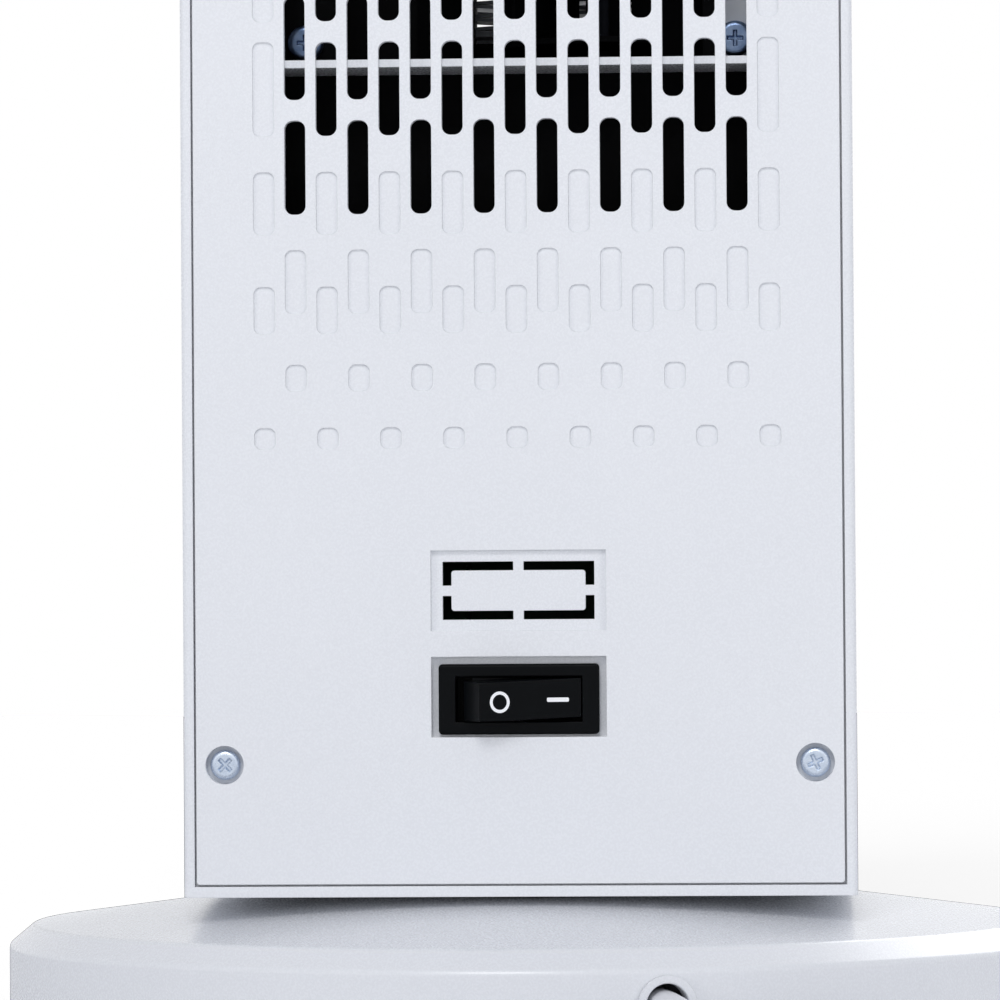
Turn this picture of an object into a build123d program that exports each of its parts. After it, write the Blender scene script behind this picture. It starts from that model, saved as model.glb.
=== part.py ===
from build123d import *
from math import atan, cos, dist, pi, radians, sin, sqrt, tan
import os

os.makedirs("parts", exist_ok=True)

# Ceramic tower heater on a round swinging base.
# The origin is on the floor under the swivel axis, +Z is up, the front faces -Y and the back +Y.

# Clearances
touch_gap = 0.05        # round a screw or a pin in its hole
side_gap = 0.15         # between pieces that lie beside each other
running_gap = 0.3       # between pieces that turn past each other
cover_gap = 0.4         # dark line round an inset cover
button_gap = 0.3
shaft_gap = 0.05

# Round base
base_radius = 106.0
base_wall = 2.4
side_height = 16.2
rim_run = 4.8
rim_rise = 4.0
rim_fillet = 1.5
cone_rise = 6.7
plateau_radius = 50.0
crown_thickness = 4.5
crown_margin = 4.0
plate_thickness = 2.5
ballast_thickness = 6.0
ballast_margin = 16.5
ballast_near = 38.0

# Feet and base screws
foot_count = 5
foot_radius = 9.0
foot_height = 2.0
foot_inset = 23.5
foot_plug_radius = 3.0
foot_rounding = 0.5
boss_inset = 10.5
boss_radius = 4.0
base_screw_length = 12.0

# Screws
screw_radius = 1.45
flat_head_radius = 3.4
flat_head_height = 1.2
pan_head_radius = 2.9
pan_head_height = 1.9
duct_head_radius = 3.5
duct_head_height = 2.4
cross_width = 0.8
cross_length = 3.2
cross_depth = 1.1

# Swivel
tower_gap = 0.8
hub_radius = 19.0
hub_bore = 12.0
hub_flange_radius = 30.0
hub_flange_thickness = 3.0
hub_screw_circle = 25.0
collar_radius = 15.0
collar_height = 17.2
slip_inner = 30.0
slip_outer = 46.0
slip_recess = 1.3
arm_thickness = 2.5
arm_half_width = 8.0
arm_tip_wall = 3.8
swivel_screw_circle = 15.5
swivel_screw_length = 9.0

# Swing drive
drive_distance = 40.0
crank_throw = 20.0
crank_rim = 4.0
crank_thickness = 2.5
crank_pin_radius = 2.5
crank_pin_height = 0.8
swing_motor_radius = 25.0
swing_motor_height = 12.4
swing_shaft_radius = 2.5
swing_shaft_depth = 6.0
ear_reach = 31.0
ear_width = 9.0
ear_thickness = 1.2

# Mains lead
cord_diameter = 7.0
cord_exit_x = -29.0
cord_exit_height = 11.7
cord_sag = 0.4
bushing_bore = 4.1
bushing_wall = 0.65
bushing_lip = 5.65
bushing_lip_height = 0.7
clamp_inset = 22.0
clamp_length = 8.0
clamp_width = 24.0
clamp_cheek = 8.5
clamp_cover = 1.6
tie_thickness = 0.5
tie_width = 10.0

# Coil of the lead
coil_outer = 49.4
coil_pitch = 7.5
coil_lower_turns = 5
coil_upper_turns = 4
coil_y = 200.0
coil_start_x = -43.5

# Plug
plug_face_width = 37.0
plug_face_height = 24.0
plug_body_length = 34.0
plug_sleeve_length = 20.0
plug_neck_radius = 6.0
plug_sleeve_radius = 4.4
pin_radius = 2.4
pin_length = 19.0
pin_spacing = 19.0
pin_chamfer = 0.8

# Tower shell
tower_width = 130.0
tower_depth = 120.0
tower_height = 440.0
tower_wall = 2.1
front_rounding = 12.0
rear_rounding = 1.2
cap_height = 17.7
cap_wall = 2.4
cap_rounding = 3.0
lip_height = 4.0
ledge_width = 2.0
ledge_depth = 2.2

# Back cover
cover_thickness = 2.3
slot_width = 4.06
slot_length = 18.2
slot_corner = 1.7
slot_growth = 2.0
blind_corner = 1.35
slot_pitch = 22.2
slot_rows = 8
column_pitch = 12.2
even_columns = 8
shelf_drop = 1.6
shelf_width = 92.0
shelf_thickness = 1.5
even_first = 129.6
odd_first = 144.8
blind_depth = 0.45
even_fade = [(6.9, 12.3), (9.9, 5.1)]
odd_fade = [(7.0, 12.1), (10.1, 9.1), (18.2, 4.1)]
cover_screw_inset = 5.5
cover_screw_rise = 23.3
cover_screw_drop = 12.0
cover_screw_recess = 3.7
cover_screw_depth = 2.6
cup_wall = 1.5
cover_screw_length = 13.0

# Knock-out blank and switch recess in the back cover
recess_width = 33.8
recess_height = 15.5
blank_rise = 56.7
blank_depth = 1.0
blank_outer_width = 29.3
blank_outer_height = 11.2
blank_slot = 1.7
blank_bridge = 2.0
blank_corner = 0.6
switch_rise = 36.2
switch_drop = 0.45
switch_recess_depth = 2.0
pad_thickness = 2.8
pad_margin = 4.0

# Rocker switch
bezel_width = 31.0
bezel_height = 13.6
bezel_thickness = 2.2
bezel_corner = 0.8
switch_body_width = 27.0
switch_body_height = 11.8
switch_body_depth = 15.0
switch_cavity_depth = 11.5
switch_cavity_width = 25.2
switch_window_width = 24.5
switch_window_height = 8.9
rocker_angle = 16.0
rocker_face = 20.08
rocker_height = 8.5
rocker_flank = 6.0
rocker_thickness = 8.3
rocker_draft = 0.43
rocker_lean = 2.5
rocker_sink = 0.15
rocker_pin_radius = 1.2
rocker_pin_reach = 0.8
rocker_flush = 0.2
spade_width = 6.3
spade_thickness = 0.8
spade_length = 9.0

# Grip recess near the top of the back cover
grip_width = 76.0
grip_height = 22.0
grip_depth = 16.0
grip_drop = 22.0
grip_wall = 2.0
grip_corner = 5.0

# Inner deck, duct and fan
deck_rise = 159.8
deck_thickness = 1.5
deck_back = 20.0
control_bay = 60.0
rib_width = 5.0
rib_height = 8.0
rib_length = 70.0
duct_half_width = 46.0
duct_wall = 1.6
duct_back = 24.0
duct_front = 14.0
flange_near = 36.0
flange_far = 49.0
duct_screw_x = 42.4
duct_screw_length = 8.0
duct_tie_height = 6.0
bracket_edge = 40.1
bracket_thickness = 0.8
fan_x = -16.0
fan_y = 8.0
fan_radius = 22.0
fan_inner_radius = 16.0
fan_blades = 22
blade_thickness = 0.8
blade_lean = 14.0
wheel_end_gap = 4.0
disc_thickness = 1.2
disc_count = 5
shaft_radius = 3.0
scroll_gap = 4.0
sheet_thickness = 1.5
bush_radius = 8.0
bush_height = 7.0
bush_flange_radius = 11.0
bush_flange_thickness = 1.5

# Fan motor
motor_radius = 26.0
motor_height = 40.0
motor_cavity_radius = 18.0
rotor_gap = 0.6
motor_end_wall = 5.0
motor_ear_circle = 29.5
motor_ear_radius = 4.5
motor_screw_length = 6.0
shroud_height = 70.0

# Ceramic heater
heater_depth = 10.0
heater_margin = 1.0
heater_border = 4.0
stone_count = 5
stone_width = 2.6
fin_pitch = 2.7
fin_thickness = 0.5
fin_depth = 8.0
cutout_radius = 8.0
cutout_height = 6.0

# Front
grille_width = 100.0
grille_margin = 6.0
grille_depth = 3.3
grille_flange = 2.5
grille_columns = 4
grille_pitch = 6.4
grille_slot = 4.2
grille_post = 4.0
grille_rounding = 1.0
window_width = 60.0
window_height = 22.0
window_drop = 28.0
window_flange = 2.0
window_flange_thickness = 1.0

# Boards
board_thickness = 1.6
power_board_size = 90.0
power_board_rise = 28.0
standoff_length = 7.9
standoff_radius = 3.0
standoff_inset = 6.0
control_board_width = 96.0
control_board_depth = 50.0
control_board_drop = 4.0
control_board_y = -23.0
key_size = 6.0
key_height = 4.3

# Buttons
button_radius = 6.9
button_flange = 1.4
button_flange_thickness = 1.4
button_proud = 0.7
button_skirt = 3.3
button_stem_radius = 2.0
button_travel = 1.0
button_y = -22.0
button_pitch = 22.0
button_names = ["power_button", "mode_button", "timer_button", "swing_button"]

# Small parts on the floor of the tower
terminal_width = 34.0
terminal_depth = 26.0
terminal_height = 14.0
tilt_width = 22.0
tilt_depth = 14.0
tilt_height = 18.0

# Heights that follow
base_bottom = foot_height
plate_top = base_bottom + plate_thickness
rim_low = base_bottom + side_height
rim_top = rim_low + rim_rise
rim_top_radius = base_radius - rim_run
plateau_z = rim_top + cone_rise
crown_under = plateau_z - crown_thickness
crown_radius = plateau_radius + crown_margin
tower_bottom = plateau_z + tower_gap
tower_floor = tower_bottom + tower_wall
cover_bottom = tower_floor + cover_gap
cover_line = tower_floor + cover_gap / 2
tower_top = tower_bottom + tower_height
shell_top = tower_top - cap_height
back = tower_depth / 2
front = -tower_depth / 2
cover_inside = back - cover_thickness
inner_half_width = tower_width / 2 - tower_wall
arm_top = crown_under - running_gap
arm_bottom = arm_top - arm_thickness
crank_pin_top = arm_bottom - running_gap
crank_top = crank_pin_top - crank_pin_height
crank_bottom = crank_top - crank_thickness
swing_motor_top = crank_bottom - 2 * running_gap
hub_flange_top = tower_floor + hub_flange_thickness
collar_top = hub_flange_top + collar_height
deck_bottom = cover_line + deck_rise
deck_top = deck_bottom + deck_thickness
deck_rear = back - deck_back
roof_bottom = shell_top - control_bay
roof_top = roof_bottom + deck_thickness
duct_rear = back - duct_back
duct_fore = front + duct_front
cord_radius = cord_diameter / 2
boss_circle = base_radius - boss_inset
foot_circle = base_radius - foot_inset


def cone_z(radius):
    """Height of the base's conical top at a distance from the axis."""
    return plateau_z - cone_rise * (radius - plateau_radius) / (rim_top_radius - plateau_radius)


def block(x_range, y_range, z_range, mode=Mode.ADD):
    """Add or cut a box between two corners."""
    with BuildSketch(Plane.XY.offset(z_range[0])) as area:
        with Locations(((x_range[0] + x_range[1]) / 2, (y_range[0] + y_range[1]) / 2)):
            Rectangle(x_range[1] - x_range[0], y_range[1] - y_range[0])
    extrude(area.sketch, amount=z_range[1] - z_range[0], mode=mode)


def post(centre, radius, z_range, mode=Mode.ADD):
    """Add or cut an upright cylinder."""
    with BuildSketch(Plane.XY.offset(z_range[0])) as area:
        with Locations(centre):
            Circle(radius)
    extrude(area.sketch, amount=z_range[1] - z_range[0], mode=mode)


def back_plane(y):
    """Plane across the tower, drawn X to the right and Z up, whose normal points to the front."""
    return Plane.XZ.offset(-y)


def cross_screw(head_radius, head_height, length):
    """Screw along Z with its head above Z 0 and a cross recess."""
    with BuildPart() as screw:
        with BuildSketch():
            Circle(head_radius)
        extrude(amount=head_height)
        crown = screw.edges().group_by(Axis.Z)[-1]
        fillet(crown, head_height * 0.45)
        with BuildSketch():
            Circle(screw_radius)
        extrude(amount=-length)
        with BuildSketch(Plane.XY.offset(head_height)):
            Rectangle(cross_length, cross_width)
            Rectangle(cross_width, cross_length)
        extrude(amount=-min(cross_depth, 0.8 * head_height), taper=8, mode=Mode.SUBTRACT)
    return screw.part


# Base shell: cone, double-edged rim and side in one turned wall
with BuildPart() as base_shell:
    with BuildSketch(Plane.XZ) as profile:
        with BuildLine():
            Polyline(
                (hub_radius + running_gap, plateau_z),
                (plateau_radius, plateau_z),
                (rim_top_radius, rim_top),
                (base_radius, rim_low),
                (base_radius, base_bottom),
                (base_radius - base_wall, base_bottom),
                (base_radius - base_wall, rim_low - base_wall / 2),
                (rim_top_radius - base_wall / 2, cone_z(rim_top_radius) - base_wall),
                (crown_radius, cone_z(crown_radius) - base_wall),
                (crown_radius, crown_under),
                (hub_radius + running_gap, crown_under),
                close=True,
            )
        make_face()
        rim_corners = profile.vertices().filter_by(
            lambda v: v.X > rim_top_radius - touch_gap and v.Y > rim_low - touch_gap
        )
        fillet(rim_corners, rim_fillet)
    revolve(axis=Axis.Z)
    with BuildSketch(Plane.XY.offset(plateau_z)):
        Circle(slip_outer)
        Circle(slip_inner, mode=Mode.SUBTRACT)
    extrude(amount=-slip_recess, mode=Mode.SUBTRACT)
    with BuildSketch(Plane.XY.offset(plate_top)):
        with PolarLocations(boss_circle, foot_count, start_angle=18):
            Circle(boss_radius)
    extrude(amount=cone_z(boss_circle + boss_radius) - base_wall / 2 - plate_top)
    with BuildSketch(Plane.XY.offset(plate_top)):
        with PolarLocations(boss_circle, foot_count, start_angle=18):
            Circle(screw_radius + touch_gap)
    extrude(amount=base_screw_length, mode=Mode.SUBTRACT)

cord_exit_y = sqrt(base_radius ** 2 - cord_exit_x ** 2)
cord_out = Vector(cord_exit_x, cord_exit_y, 0) / base_radius
cord_across = Vector(cord_out.Y, -cord_out.X, 0)
cord_exit = Vector(cord_exit_x, cord_exit_y, cord_exit_height)
bushing_outer = bushing_bore + bushing_wall


def along_exit(distance, height):
    """Point on the line of the cord's exit, outwards from the base's side."""
    return Vector(cord_exit_x, cord_exit_y, 0) + cord_out * distance + Vector(0, 0, height)


with base_shell:
    with BuildSketch(Plane(along_exit(2, cord_exit_height), z_dir=-cord_out)) as cord_hole:
        Circle(bushing_outer + touch_gap)
    extrude(cord_hole.sketch, amount=2 + 3 * base_wall, mode=Mode.SUBTRACT)
base_shell.part.label = "base_shell"
export_step(base_shell.part, "parts/base_shell.step")

# Bottom plate with posts for the swing motor and the cord clamp
cord_line = cord_exit_height - cord_sag
clamp_plane = Plane(along_exit(-clamp_inset, 0), x_dir=cord_across, z_dir=(0, 0, 1))
motor_y = -drive_distance
with BuildPart() as base_plate:
    with BuildSketch(Plane.XY.offset(base_bottom)):
        Circle(base_radius - base_wall - running_gap)
        with PolarLocations(boss_circle, foot_count, start_angle=18):
            Circle(screw_radius + touch_gap, mode=Mode.SUBTRACT)
        with PolarLocations(foot_circle, foot_count, start_angle=54):
            Circle(foot_plug_radius + touch_gap, mode=Mode.SUBTRACT)
    extrude(amount=plate_thickness)
    with BuildSketch(Plane.XY.offset(base_bottom)):
        with PolarLocations(boss_circle, foot_count, start_angle=18):
            Circle(flat_head_radius + side_gap)
    extrude(amount=flat_head_height, mode=Mode.SUBTRACT)
    ear_bottom = swing_motor_top - ear_thickness
    for side in (-1, 1):
        post((side * ear_reach, motor_y), boss_radius, (plate_top, ear_bottom))
        post((side * ear_reach, motor_y), screw_radius + touch_gap, (ear_bottom - 8, ear_bottom), Mode.SUBTRACT)
    with BuildSketch(clamp_plane.offset(plate_top)) as pad:
        Rectangle(cord_diameter, clamp_length)
    extrude(pad.sketch, amount=cord_line - cord_radius - plate_top)
    with BuildSketch(clamp_plane.offset(plate_top)) as cheeks:
        with Locations((-clamp_cheek, 0), (clamp_cheek, 0)):
            Circle(boss_radius - 1)
            Circle(screw_radius + touch_gap, mode=Mode.SUBTRACT)
    extrude(cheeks.sketch, amount=cord_line - plate_top)
base_plate.part.label = "base_plate"
export_step(base_plate.part, "parts/base_plate.step")

# Rubber feet, one node for five alike
with BuildPart() as rubber_feet:
    with BuildSketch():
        with PolarLocations(foot_circle, foot_count, start_angle=54):
            Circle(foot_radius)
    extrude(amount=foot_height)
    fillet(rubber_feet.edges().group_by(Axis.Z)[0], foot_rounding)
    with BuildSketch(Plane.XY.offset(foot_height)):
        with PolarLocations(foot_circle, foot_count, start_angle=54):
            Circle(foot_plug_radius)
    extrude(amount=plate_thickness)
rubber_feet.part.label = "rubber_feet"
export_step(rubber_feet.part, "parts/rubber_feet.step")

# Screws that hold the bottom plate, heads down
base_screw = cross_screw(flat_head_radius, flat_head_height, base_screw_length)
with BuildPart() as base_screws:
    with PolarLocations(boss_circle, foot_count, start_angle=18):
        add(base_screw.rotate(Axis.X, 180).translate((0, 0, base_bottom + flat_head_height)))
base_screws.part.label = "base_screws"
export_step(base_screws.part, "parts/base_screws.step")

# Steel ballast, one plate on each side of the swing drive
with BuildPart() as ballast_plates:
    with BuildSketch(Plane.XY.offset(plate_top)):
        Circle(base_radius - ballast_margin)
        Rectangle(2 * ballast_near, 2 * base_radius, mode=Mode.SUBTRACT)
    extrude(amount=ballast_thickness)
ballast_plates.part.label = "ballast_plates"
export_step(ballast_plates.part, "parts/ballast_plates.step")

# Slip ring that the tower turns on
with BuildPart() as slip_ring:
    with BuildSketch(Plane.XY.offset(plateau_z - slip_recess)):
        Circle(slip_outer - side_gap)
        Circle(slip_inner + side_gap, mode=Mode.SUBTRACT)
    extrude(amount=slip_recess + tower_gap - side_gap)
slip_ring.part.label = "slip_ring"
export_step(slip_ring.part, "parts/slip_ring.step")

# Flat geared motor that drives the swing
with BuildPart() as oscillation_motor:
    post((0, motor_y), swing_motor_radius, (swing_motor_top - swing_motor_height, swing_motor_top))
    fillet(oscillation_motor.edges().filter_by(GeomType.CIRCLE), ear_thickness)
    with BuildSketch(Plane.XY.offset(ear_bottom)) as ears:
        with Locations((0, motor_y)):
            SlotCenterToCenter(2 * ear_reach, ear_width)
    extrude(ears.sketch, amount=ear_thickness)
    for side in (-1, 1):
        hole = (side * ear_reach, motor_y)
        post(hole, screw_radius + touch_gap, (ear_bottom, swing_motor_top), Mode.SUBTRACT)
    post(
        (0, motor_y),
        swing_shaft_radius + shaft_gap,
        (swing_motor_top - swing_shaft_depth - running_gap, swing_motor_top),
        Mode.SUBTRACT,
    )
oscillation_motor.part.label = "oscillation_motor"
export_step(oscillation_motor.part, "parts/oscillation_motor.step")

ear_screw = cross_screw(pan_head_radius - 0.4, pan_head_height - 0.5, 7)
with BuildPart() as oscillation_motor_screws:
    with Locations((-ear_reach, motor_y, swing_motor_top), (ear_reach, motor_y, swing_motor_top)):
        add(ear_screw)
oscillation_motor_screws.part.label = "oscillation_motor_screws"
export_step(oscillation_motor_screws.part, "parts/oscillation_motor_screws.step")

# Crank: disc, shaft into the motor and a short pin under the arm's slot
with BuildPart() as oscillation_crank:
    post((0, motor_y), crank_throw + crank_rim, (crank_bottom, crank_top))
    post((0, motor_y), swing_shaft_radius, (swing_motor_top - swing_shaft_depth, crank_bottom))
    post((0, motor_y - crank_throw), crank_pin_radius, (crank_top, crank_pin_top))
oscillation_crank.part.label = "oscillation_crank"
export_step(oscillation_crank.part, "parts/oscillation_crank.step")

# Swivel hub: tube through the base, flange on the tower's floor, collar for the lead
with BuildPart() as swivel_hub:
    post((0, 0), hub_radius, (arm_top, hub_flange_top))
    post((0, 0), hub_flange_radius, (tower_floor, hub_flange_top))
    post((0, 0), collar_radius, (hub_flange_top, collar_top))
    post((0, 0), hub_bore, (arm_top, collar_top), Mode.SUBTRACT)
    with BuildSketch(Plane.XY.offset(tower_floor)):
        with PolarLocations(hub_screw_circle, 4, start_angle=45):
            Circle(screw_radius + touch_gap)
    extrude(amount=hub_flange_thickness, mode=Mode.SUBTRACT)
    with BuildSketch(Plane.XY.offset(arm_top)):
        with PolarLocations(swivel_screw_circle, 3, start_angle=90):
            Circle(screw_radius + touch_gap)
    extrude(amount=swivel_screw_length, mode=Mode.SUBTRACT)
swivel_hub.part.label = "swivel_hub"
export_step(swivel_hub.part, "parts/swivel_hub.step")

hub_screw = cross_screw(pan_head_radius - 0.4, pan_head_height, hub_flange_thickness + tower_wall - side_gap)
with BuildPart() as hub_screws:
    with PolarLocations(hub_screw_circle, 4, start_angle=45):
        add(hub_screw.translate((0, 0, hub_flange_top)))
hub_screws.part.label = "hub_screws"
export_step(hub_screws.part, "parts/hub_screws.step")

# Swivel plate under the base's crown, with the slotted arm of the swing drive
arm_reach = drive_distance + crank_throw + crank_pin_radius + side_gap + arm_tip_wall
slot_half = crank_pin_radius + side_gap
with BuildPart() as swivel_plate:
    with BuildSketch(Plane.XY.offset(arm_bottom)):
        Circle(hub_flange_radius)
        with Locations((0, -(arm_reach - arm_half_width) / 2)):
            Rectangle(2 * arm_half_width, arm_reach - arm_half_width)
        with Locations((0, -(arm_reach - arm_half_width))):
            Circle(arm_half_width)
        Circle(hub_bore, mode=Mode.SUBTRACT)
        with Locations((0, -drive_distance)):
            SlotCenterToCenter(2 * crank_throw, 2 * slot_half, rotation=90, mode=Mode.SUBTRACT)
        with PolarLocations(swivel_screw_circle, 3, start_angle=90):
            Circle(screw_radius + touch_gap, mode=Mode.SUBTRACT)
    extrude(amount=arm_thickness)
swivel_plate.part.label = "swivel_plate"
export_step(swivel_plate.part, "parts/swivel_plate.step")

swivel_screw = cross_screw(pan_head_radius - 0.4, pan_head_height, arm_thickness + swivel_screw_length - 1)
with BuildPart() as swivel_screws:
    with PolarLocations(swivel_screw_circle, 3, start_angle=90):
        add(swivel_screw.rotate(Axis.X, 180).translate((0, 0, arm_bottom)))
swivel_screws.part.label = "swivel_screws"
export_step(swivel_screws.part, "parts/swivel_screws.step")

# Bushing of the cord hole, whose lip shows on the base's side
with BuildPart() as cord_bushing:
    with BuildSketch(Plane(along_exit(touch_gap, cord_exit_height), z_dir=cord_out)):
        Circle(bushing_lip)
        Circle(bushing_bore, mode=Mode.SUBTRACT)
    extrude(amount=bushing_lip_height)
    lip_edges = cord_bushing.edges().filter_by(GeomType.CIRCLE).sort_by_distance(along_exit(9, cord_exit_height))
    fillet(lip_edges[0:2], bushing_lip_height * 0.45)
    with BuildSketch(Plane(along_exit(touch_gap, cord_exit_height), z_dir=cord_out)):
        Circle(bushing_outer)
        Circle(bushing_bore, mode=Mode.SUBTRACT)
    extrude(amount=-(base_wall + 1.2))
cord_bushing.part.label = "cord_bushing"
export_step(cord_bushing.part, "parts/cord_bushing.step")

# Clamp bar over the lead
clamp_face = clamp_plane.origin + Vector(0, 0, cord_line) - cord_out * (clamp_length / 2)
with BuildPart() as cord_clamp:
    with BuildSketch(Plane(clamp_face, x_dir=cord_across, z_dir=-cord_out)):
        with Locations((0, (cord_radius + clamp_cover) / 2)):
            Rectangle(clamp_width, cord_radius + clamp_cover)
        Circle(cord_radius, mode=Mode.SUBTRACT)
    extrude(amount=-clamp_length)
    with BuildSketch(clamp_plane.offset(cord_line)) as holes:
        with Locations((-clamp_cheek, 0), (clamp_cheek, 0)):
            Circle(screw_radius + touch_gap)
    extrude(holes.sketch, amount=cord_radius + clamp_cover, mode=Mode.SUBTRACT)
cord_clamp.part.label = "cord_clamp"
export_step(cord_clamp.part, "parts/cord_clamp.step")

clamp_screw = cross_screw(pan_head_radius - 0.4, pan_head_height - 0.5, 10)
clamp_top = cord_line + cord_radius + clamp_cover
with BuildPart() as cord_clamp_screws:
    for side in (-1, 1):
        centre = clamp_plane.origin + cord_across * (side * clamp_cheek) + Vector(0, 0, clamp_top)
        add(clamp_screw.moved(Location(centre)))
cord_clamp_screws.part.label = "cord_clamp_screws"
export_step(cord_clamp_screws.part, "parts/cord_clamp_screws.step")


def bend_radii(points):
    """Largest arc that each corner's two runs allow."""
    radii = []
    for before, corner, after in zip(points, points[1:], points[2:]):
        run_in = corner - before
        run_out = after - corner
        half_turn = radians(run_in.get_angle(run_out)) / 2
        radii.append(0.45 * min(run_in.length, run_out.length) / tan(half_turn))
    return radii


def path_length(path):
    """Length of a drawn path."""
    return sum(edge.length for edge in path.edges())


def report_tube(name, points, solid, path):
    """Print the bends and compare the volume with section times length."""
    length = path_length(path)
    ideal = pi * cord_radius ** 2 * length
    radii = ", ".join(f"{radius:.0f}" for radius in bend_radii(points))
    print(f"{name}: length {length:.0f} mm, radii {radii}, volume ratio {solid.volume / ideal:.4f}")


# Lead inside the base, from the clamp up the hub to the terminal block
inner_points = [
    along_exit(-clamp_inset + clamp_length / 2, cord_line),
    along_exit(-48, cord_line),
    Vector(-3, 34, 9.0),
    Vector(0, 15, 9.6),
    Vector(0, 3.5, 20),
    Vector(0, 0.4, 38),
    Vector(0, 0, collar_top - side_gap),
]
with BuildPart() as inner_lead:
    with BuildLine() as inner_path:
        FilletPolyline(*inner_points, radius=bend_radii(inner_points))
    with BuildSketch(Plane(inner_path.line @ 0, z_dir=inner_path.line % 0)):
        Circle(cord_radius)
    sweep(path=inner_path.line)
inner_lead.part.label = "inner_lead"
export_step(inner_lead.part, "parts/inner_lead.step")
report_tube("inner_lead", inner_points, inner_lead.part, inner_path)

# Free lead from the clamp to the coil on the floor behind the heater
floor_line = cord_radius + tie_thickness
lead_points = [
    along_exit(-clamp_inset + clamp_length / 2, cord_line),
    along_exit(12, cord_line),
    Vector(-38.5, 142.5, floor_line + 0.4),
    Vector(-43.0, 168.0, floor_line),
    Vector(coil_start_x, coil_y - cord_diameter, floor_line),
]
lead_points[3] = Vector(coil_start_x, 168.0, floor_line)
with BuildPart() as mains_lead:
    with BuildLine() as lead_path:
        FilletPolyline(*lead_points, radius=bend_radii(lead_points))
    with BuildSketch(Plane(lead_path.line @ 0, z_dir=lead_path.line % 0)):
        Circle(cord_radius)
    sweep(path=lead_path.line)
mains_lead.part.label = "mains_lead"
export_step(mains_lead.part, "parts/mains_lead.step")
report_tube("mains_lead", lead_points, mains_lead.part, lead_path)


def half_turn_arcs(x, radius, height, from_left):
    """Flat half turn, clockwise from above, and the x where it ends."""
    if from_left:
        CenterArc((x + radius, coil_y, height), radius, 180, -180)
        return x + 2 * radius
    CenterArc((x - radius, coil_y, height), radius, 0, -180)
    return x - 2 * radius


def climbing_arcs(x, radius, height, rise):
    """Two quarter arcs, from the right round the near side to the left, that climb one layer."""
    middle_reach = sqrt(radius ** 2 + (rise / 2) ** 2)
    start = (x, coil_y, height)
    middle = (x - radius, coil_y - middle_reach, height + rise / 2)
    finish = (x - 2 * radius, coil_y, height + rise)
    TangentArc(start, middle, tangent=(0, -1, 0))
    TangentArc(middle, finish, tangent=Vector(-radius, 0, rise / 2))
    return x - 2 * radius


# Coil: two layers of flat half turns, wound in, up one layer and out again
with BuildPart() as cord_coil:
    with BuildLine() as coil_path:
        Line((coil_start_x, coil_y - cord_diameter, floor_line), (coil_start_x, coil_y, floor_line))
        turn_x = coil_start_x
        turn_radius = coil_outer
        from_left = True
        for turn in range(coil_lower_turns):
            turn_x = half_turn_arcs(turn_x, turn_radius, floor_line, from_left)
            turn_radius -= coil_pitch / 2
            from_left = not from_left
        turn_x = climbing_arcs(turn_x, turn_radius, floor_line, coil_pitch)
        from_left = True
        for turn in range(coil_upper_turns):
            turn_radius += coil_pitch / 2
            turn_x = half_turn_arcs(turn_x, turn_radius, floor_line + coil_pitch, from_left)
            from_left = not from_left
        coil_end = Vector(turn_x, coil_y + cord_diameter, floor_line + coil_pitch)
        Line((turn_x, coil_y, floor_line + coil_pitch), coil_end)
    with BuildSketch(Plane(coil_path.line @ 0, z_dir=coil_path.line % 0)):
        Circle(cord_radius)
    sweep(path=coil_path.line)
cord_coil.part.label = "cord_coil"
export_step(cord_coil.part, "parts/cord_coil.step")

coil_wire = coil_path.wires()[0]
coil_length = path_length(coil_path)
coil_samples = [tuple(coil_wire @ (step / 900)) for step in range(901)]
coil_step = coil_length / 900
near_steps = int(1.5 * coil_pitch / coil_step) + 6
least_gap = min(
    dist(coil_samples[i], coil_samples[j])
    for i in range(len(coil_samples))
    for j in range(i + near_steps, len(coil_samples))
) - cord_diameter
print(f"cord_coil: length {coil_length:.0f} mm, least gap to itself {least_gap:.2f} mm")

# Tail of the lead from the coil to the plug
plug_line = plug_face_height / 2
tail_points = [
    coil_end,
    coil_end + Vector(0, 20, 0),
    coil_end + Vector(-10.5, 38.2, -1.0),
    Vector(-66.5, 256.2, floor_line + 2.0),
    Vector(-90.5, 257.5, floor_line),
    Vector(-113.0, 246.5, floor_line + 3.0),
    Vector(-126.4, 227.0, plug_line),
    Vector(-126.4, 203.0, plug_line),
]
with BuildPart() as cord_tail:
    with BuildLine() as tail_path:
        FilletPolyline(*tail_points, radius=bend_radii(tail_points))
    with BuildSketch(Plane(tail_path.line @ 0, z_dir=tail_path.line % 0)):
        Circle(cord_radius)
    sweep(path=tail_path.line)
cord_tail.part.label = "cord_tail"
export_step(cord_tail.part, "parts/cord_tail.step")
report_tube("cord_tail", tail_points, cord_tail.part, tail_path)
cord_length = path_length(lead_path) + coil_length + path_length(tail_path)
print(f"whole free lead {cord_length:.0f} mm")

# Tie round the coil, on its right-hand side
coil_right = coil_start_x + 2 * coil_outer
tie_near = coil_right - (coil_lower_turns - 1) / 2 * coil_pitch - cord_radius - 4 * side_gap
with BuildPart() as cord_tie:
    block(
        (tie_near - tie_thickness, coil_right + cord_radius + side_gap + tie_thickness),
        (coil_y - tie_width / 2, coil_y + tie_width / 2),
        (0, floor_line + coil_pitch + cord_radius + tie_thickness),
    )
    fillet(cord_tie.edges().filter_by(Axis.Y), 2 * tie_thickness)
    block(
        (tie_near, coil_right + cord_radius + side_gap),
        (coil_y - tie_width / 2, coil_y + tie_width / 2),
        (tie_thickness, floor_line + coil_pitch + cord_radius),
        Mode.SUBTRACT,
    )
cord_tie.part.label = "cord_tie"
export_step(cord_tie.part, "parts/cord_tie.step")

# Flat moulded plug with its tapered sleeve, lying with its pins towards -Y
plug_end = tail_points[-1]


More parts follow.
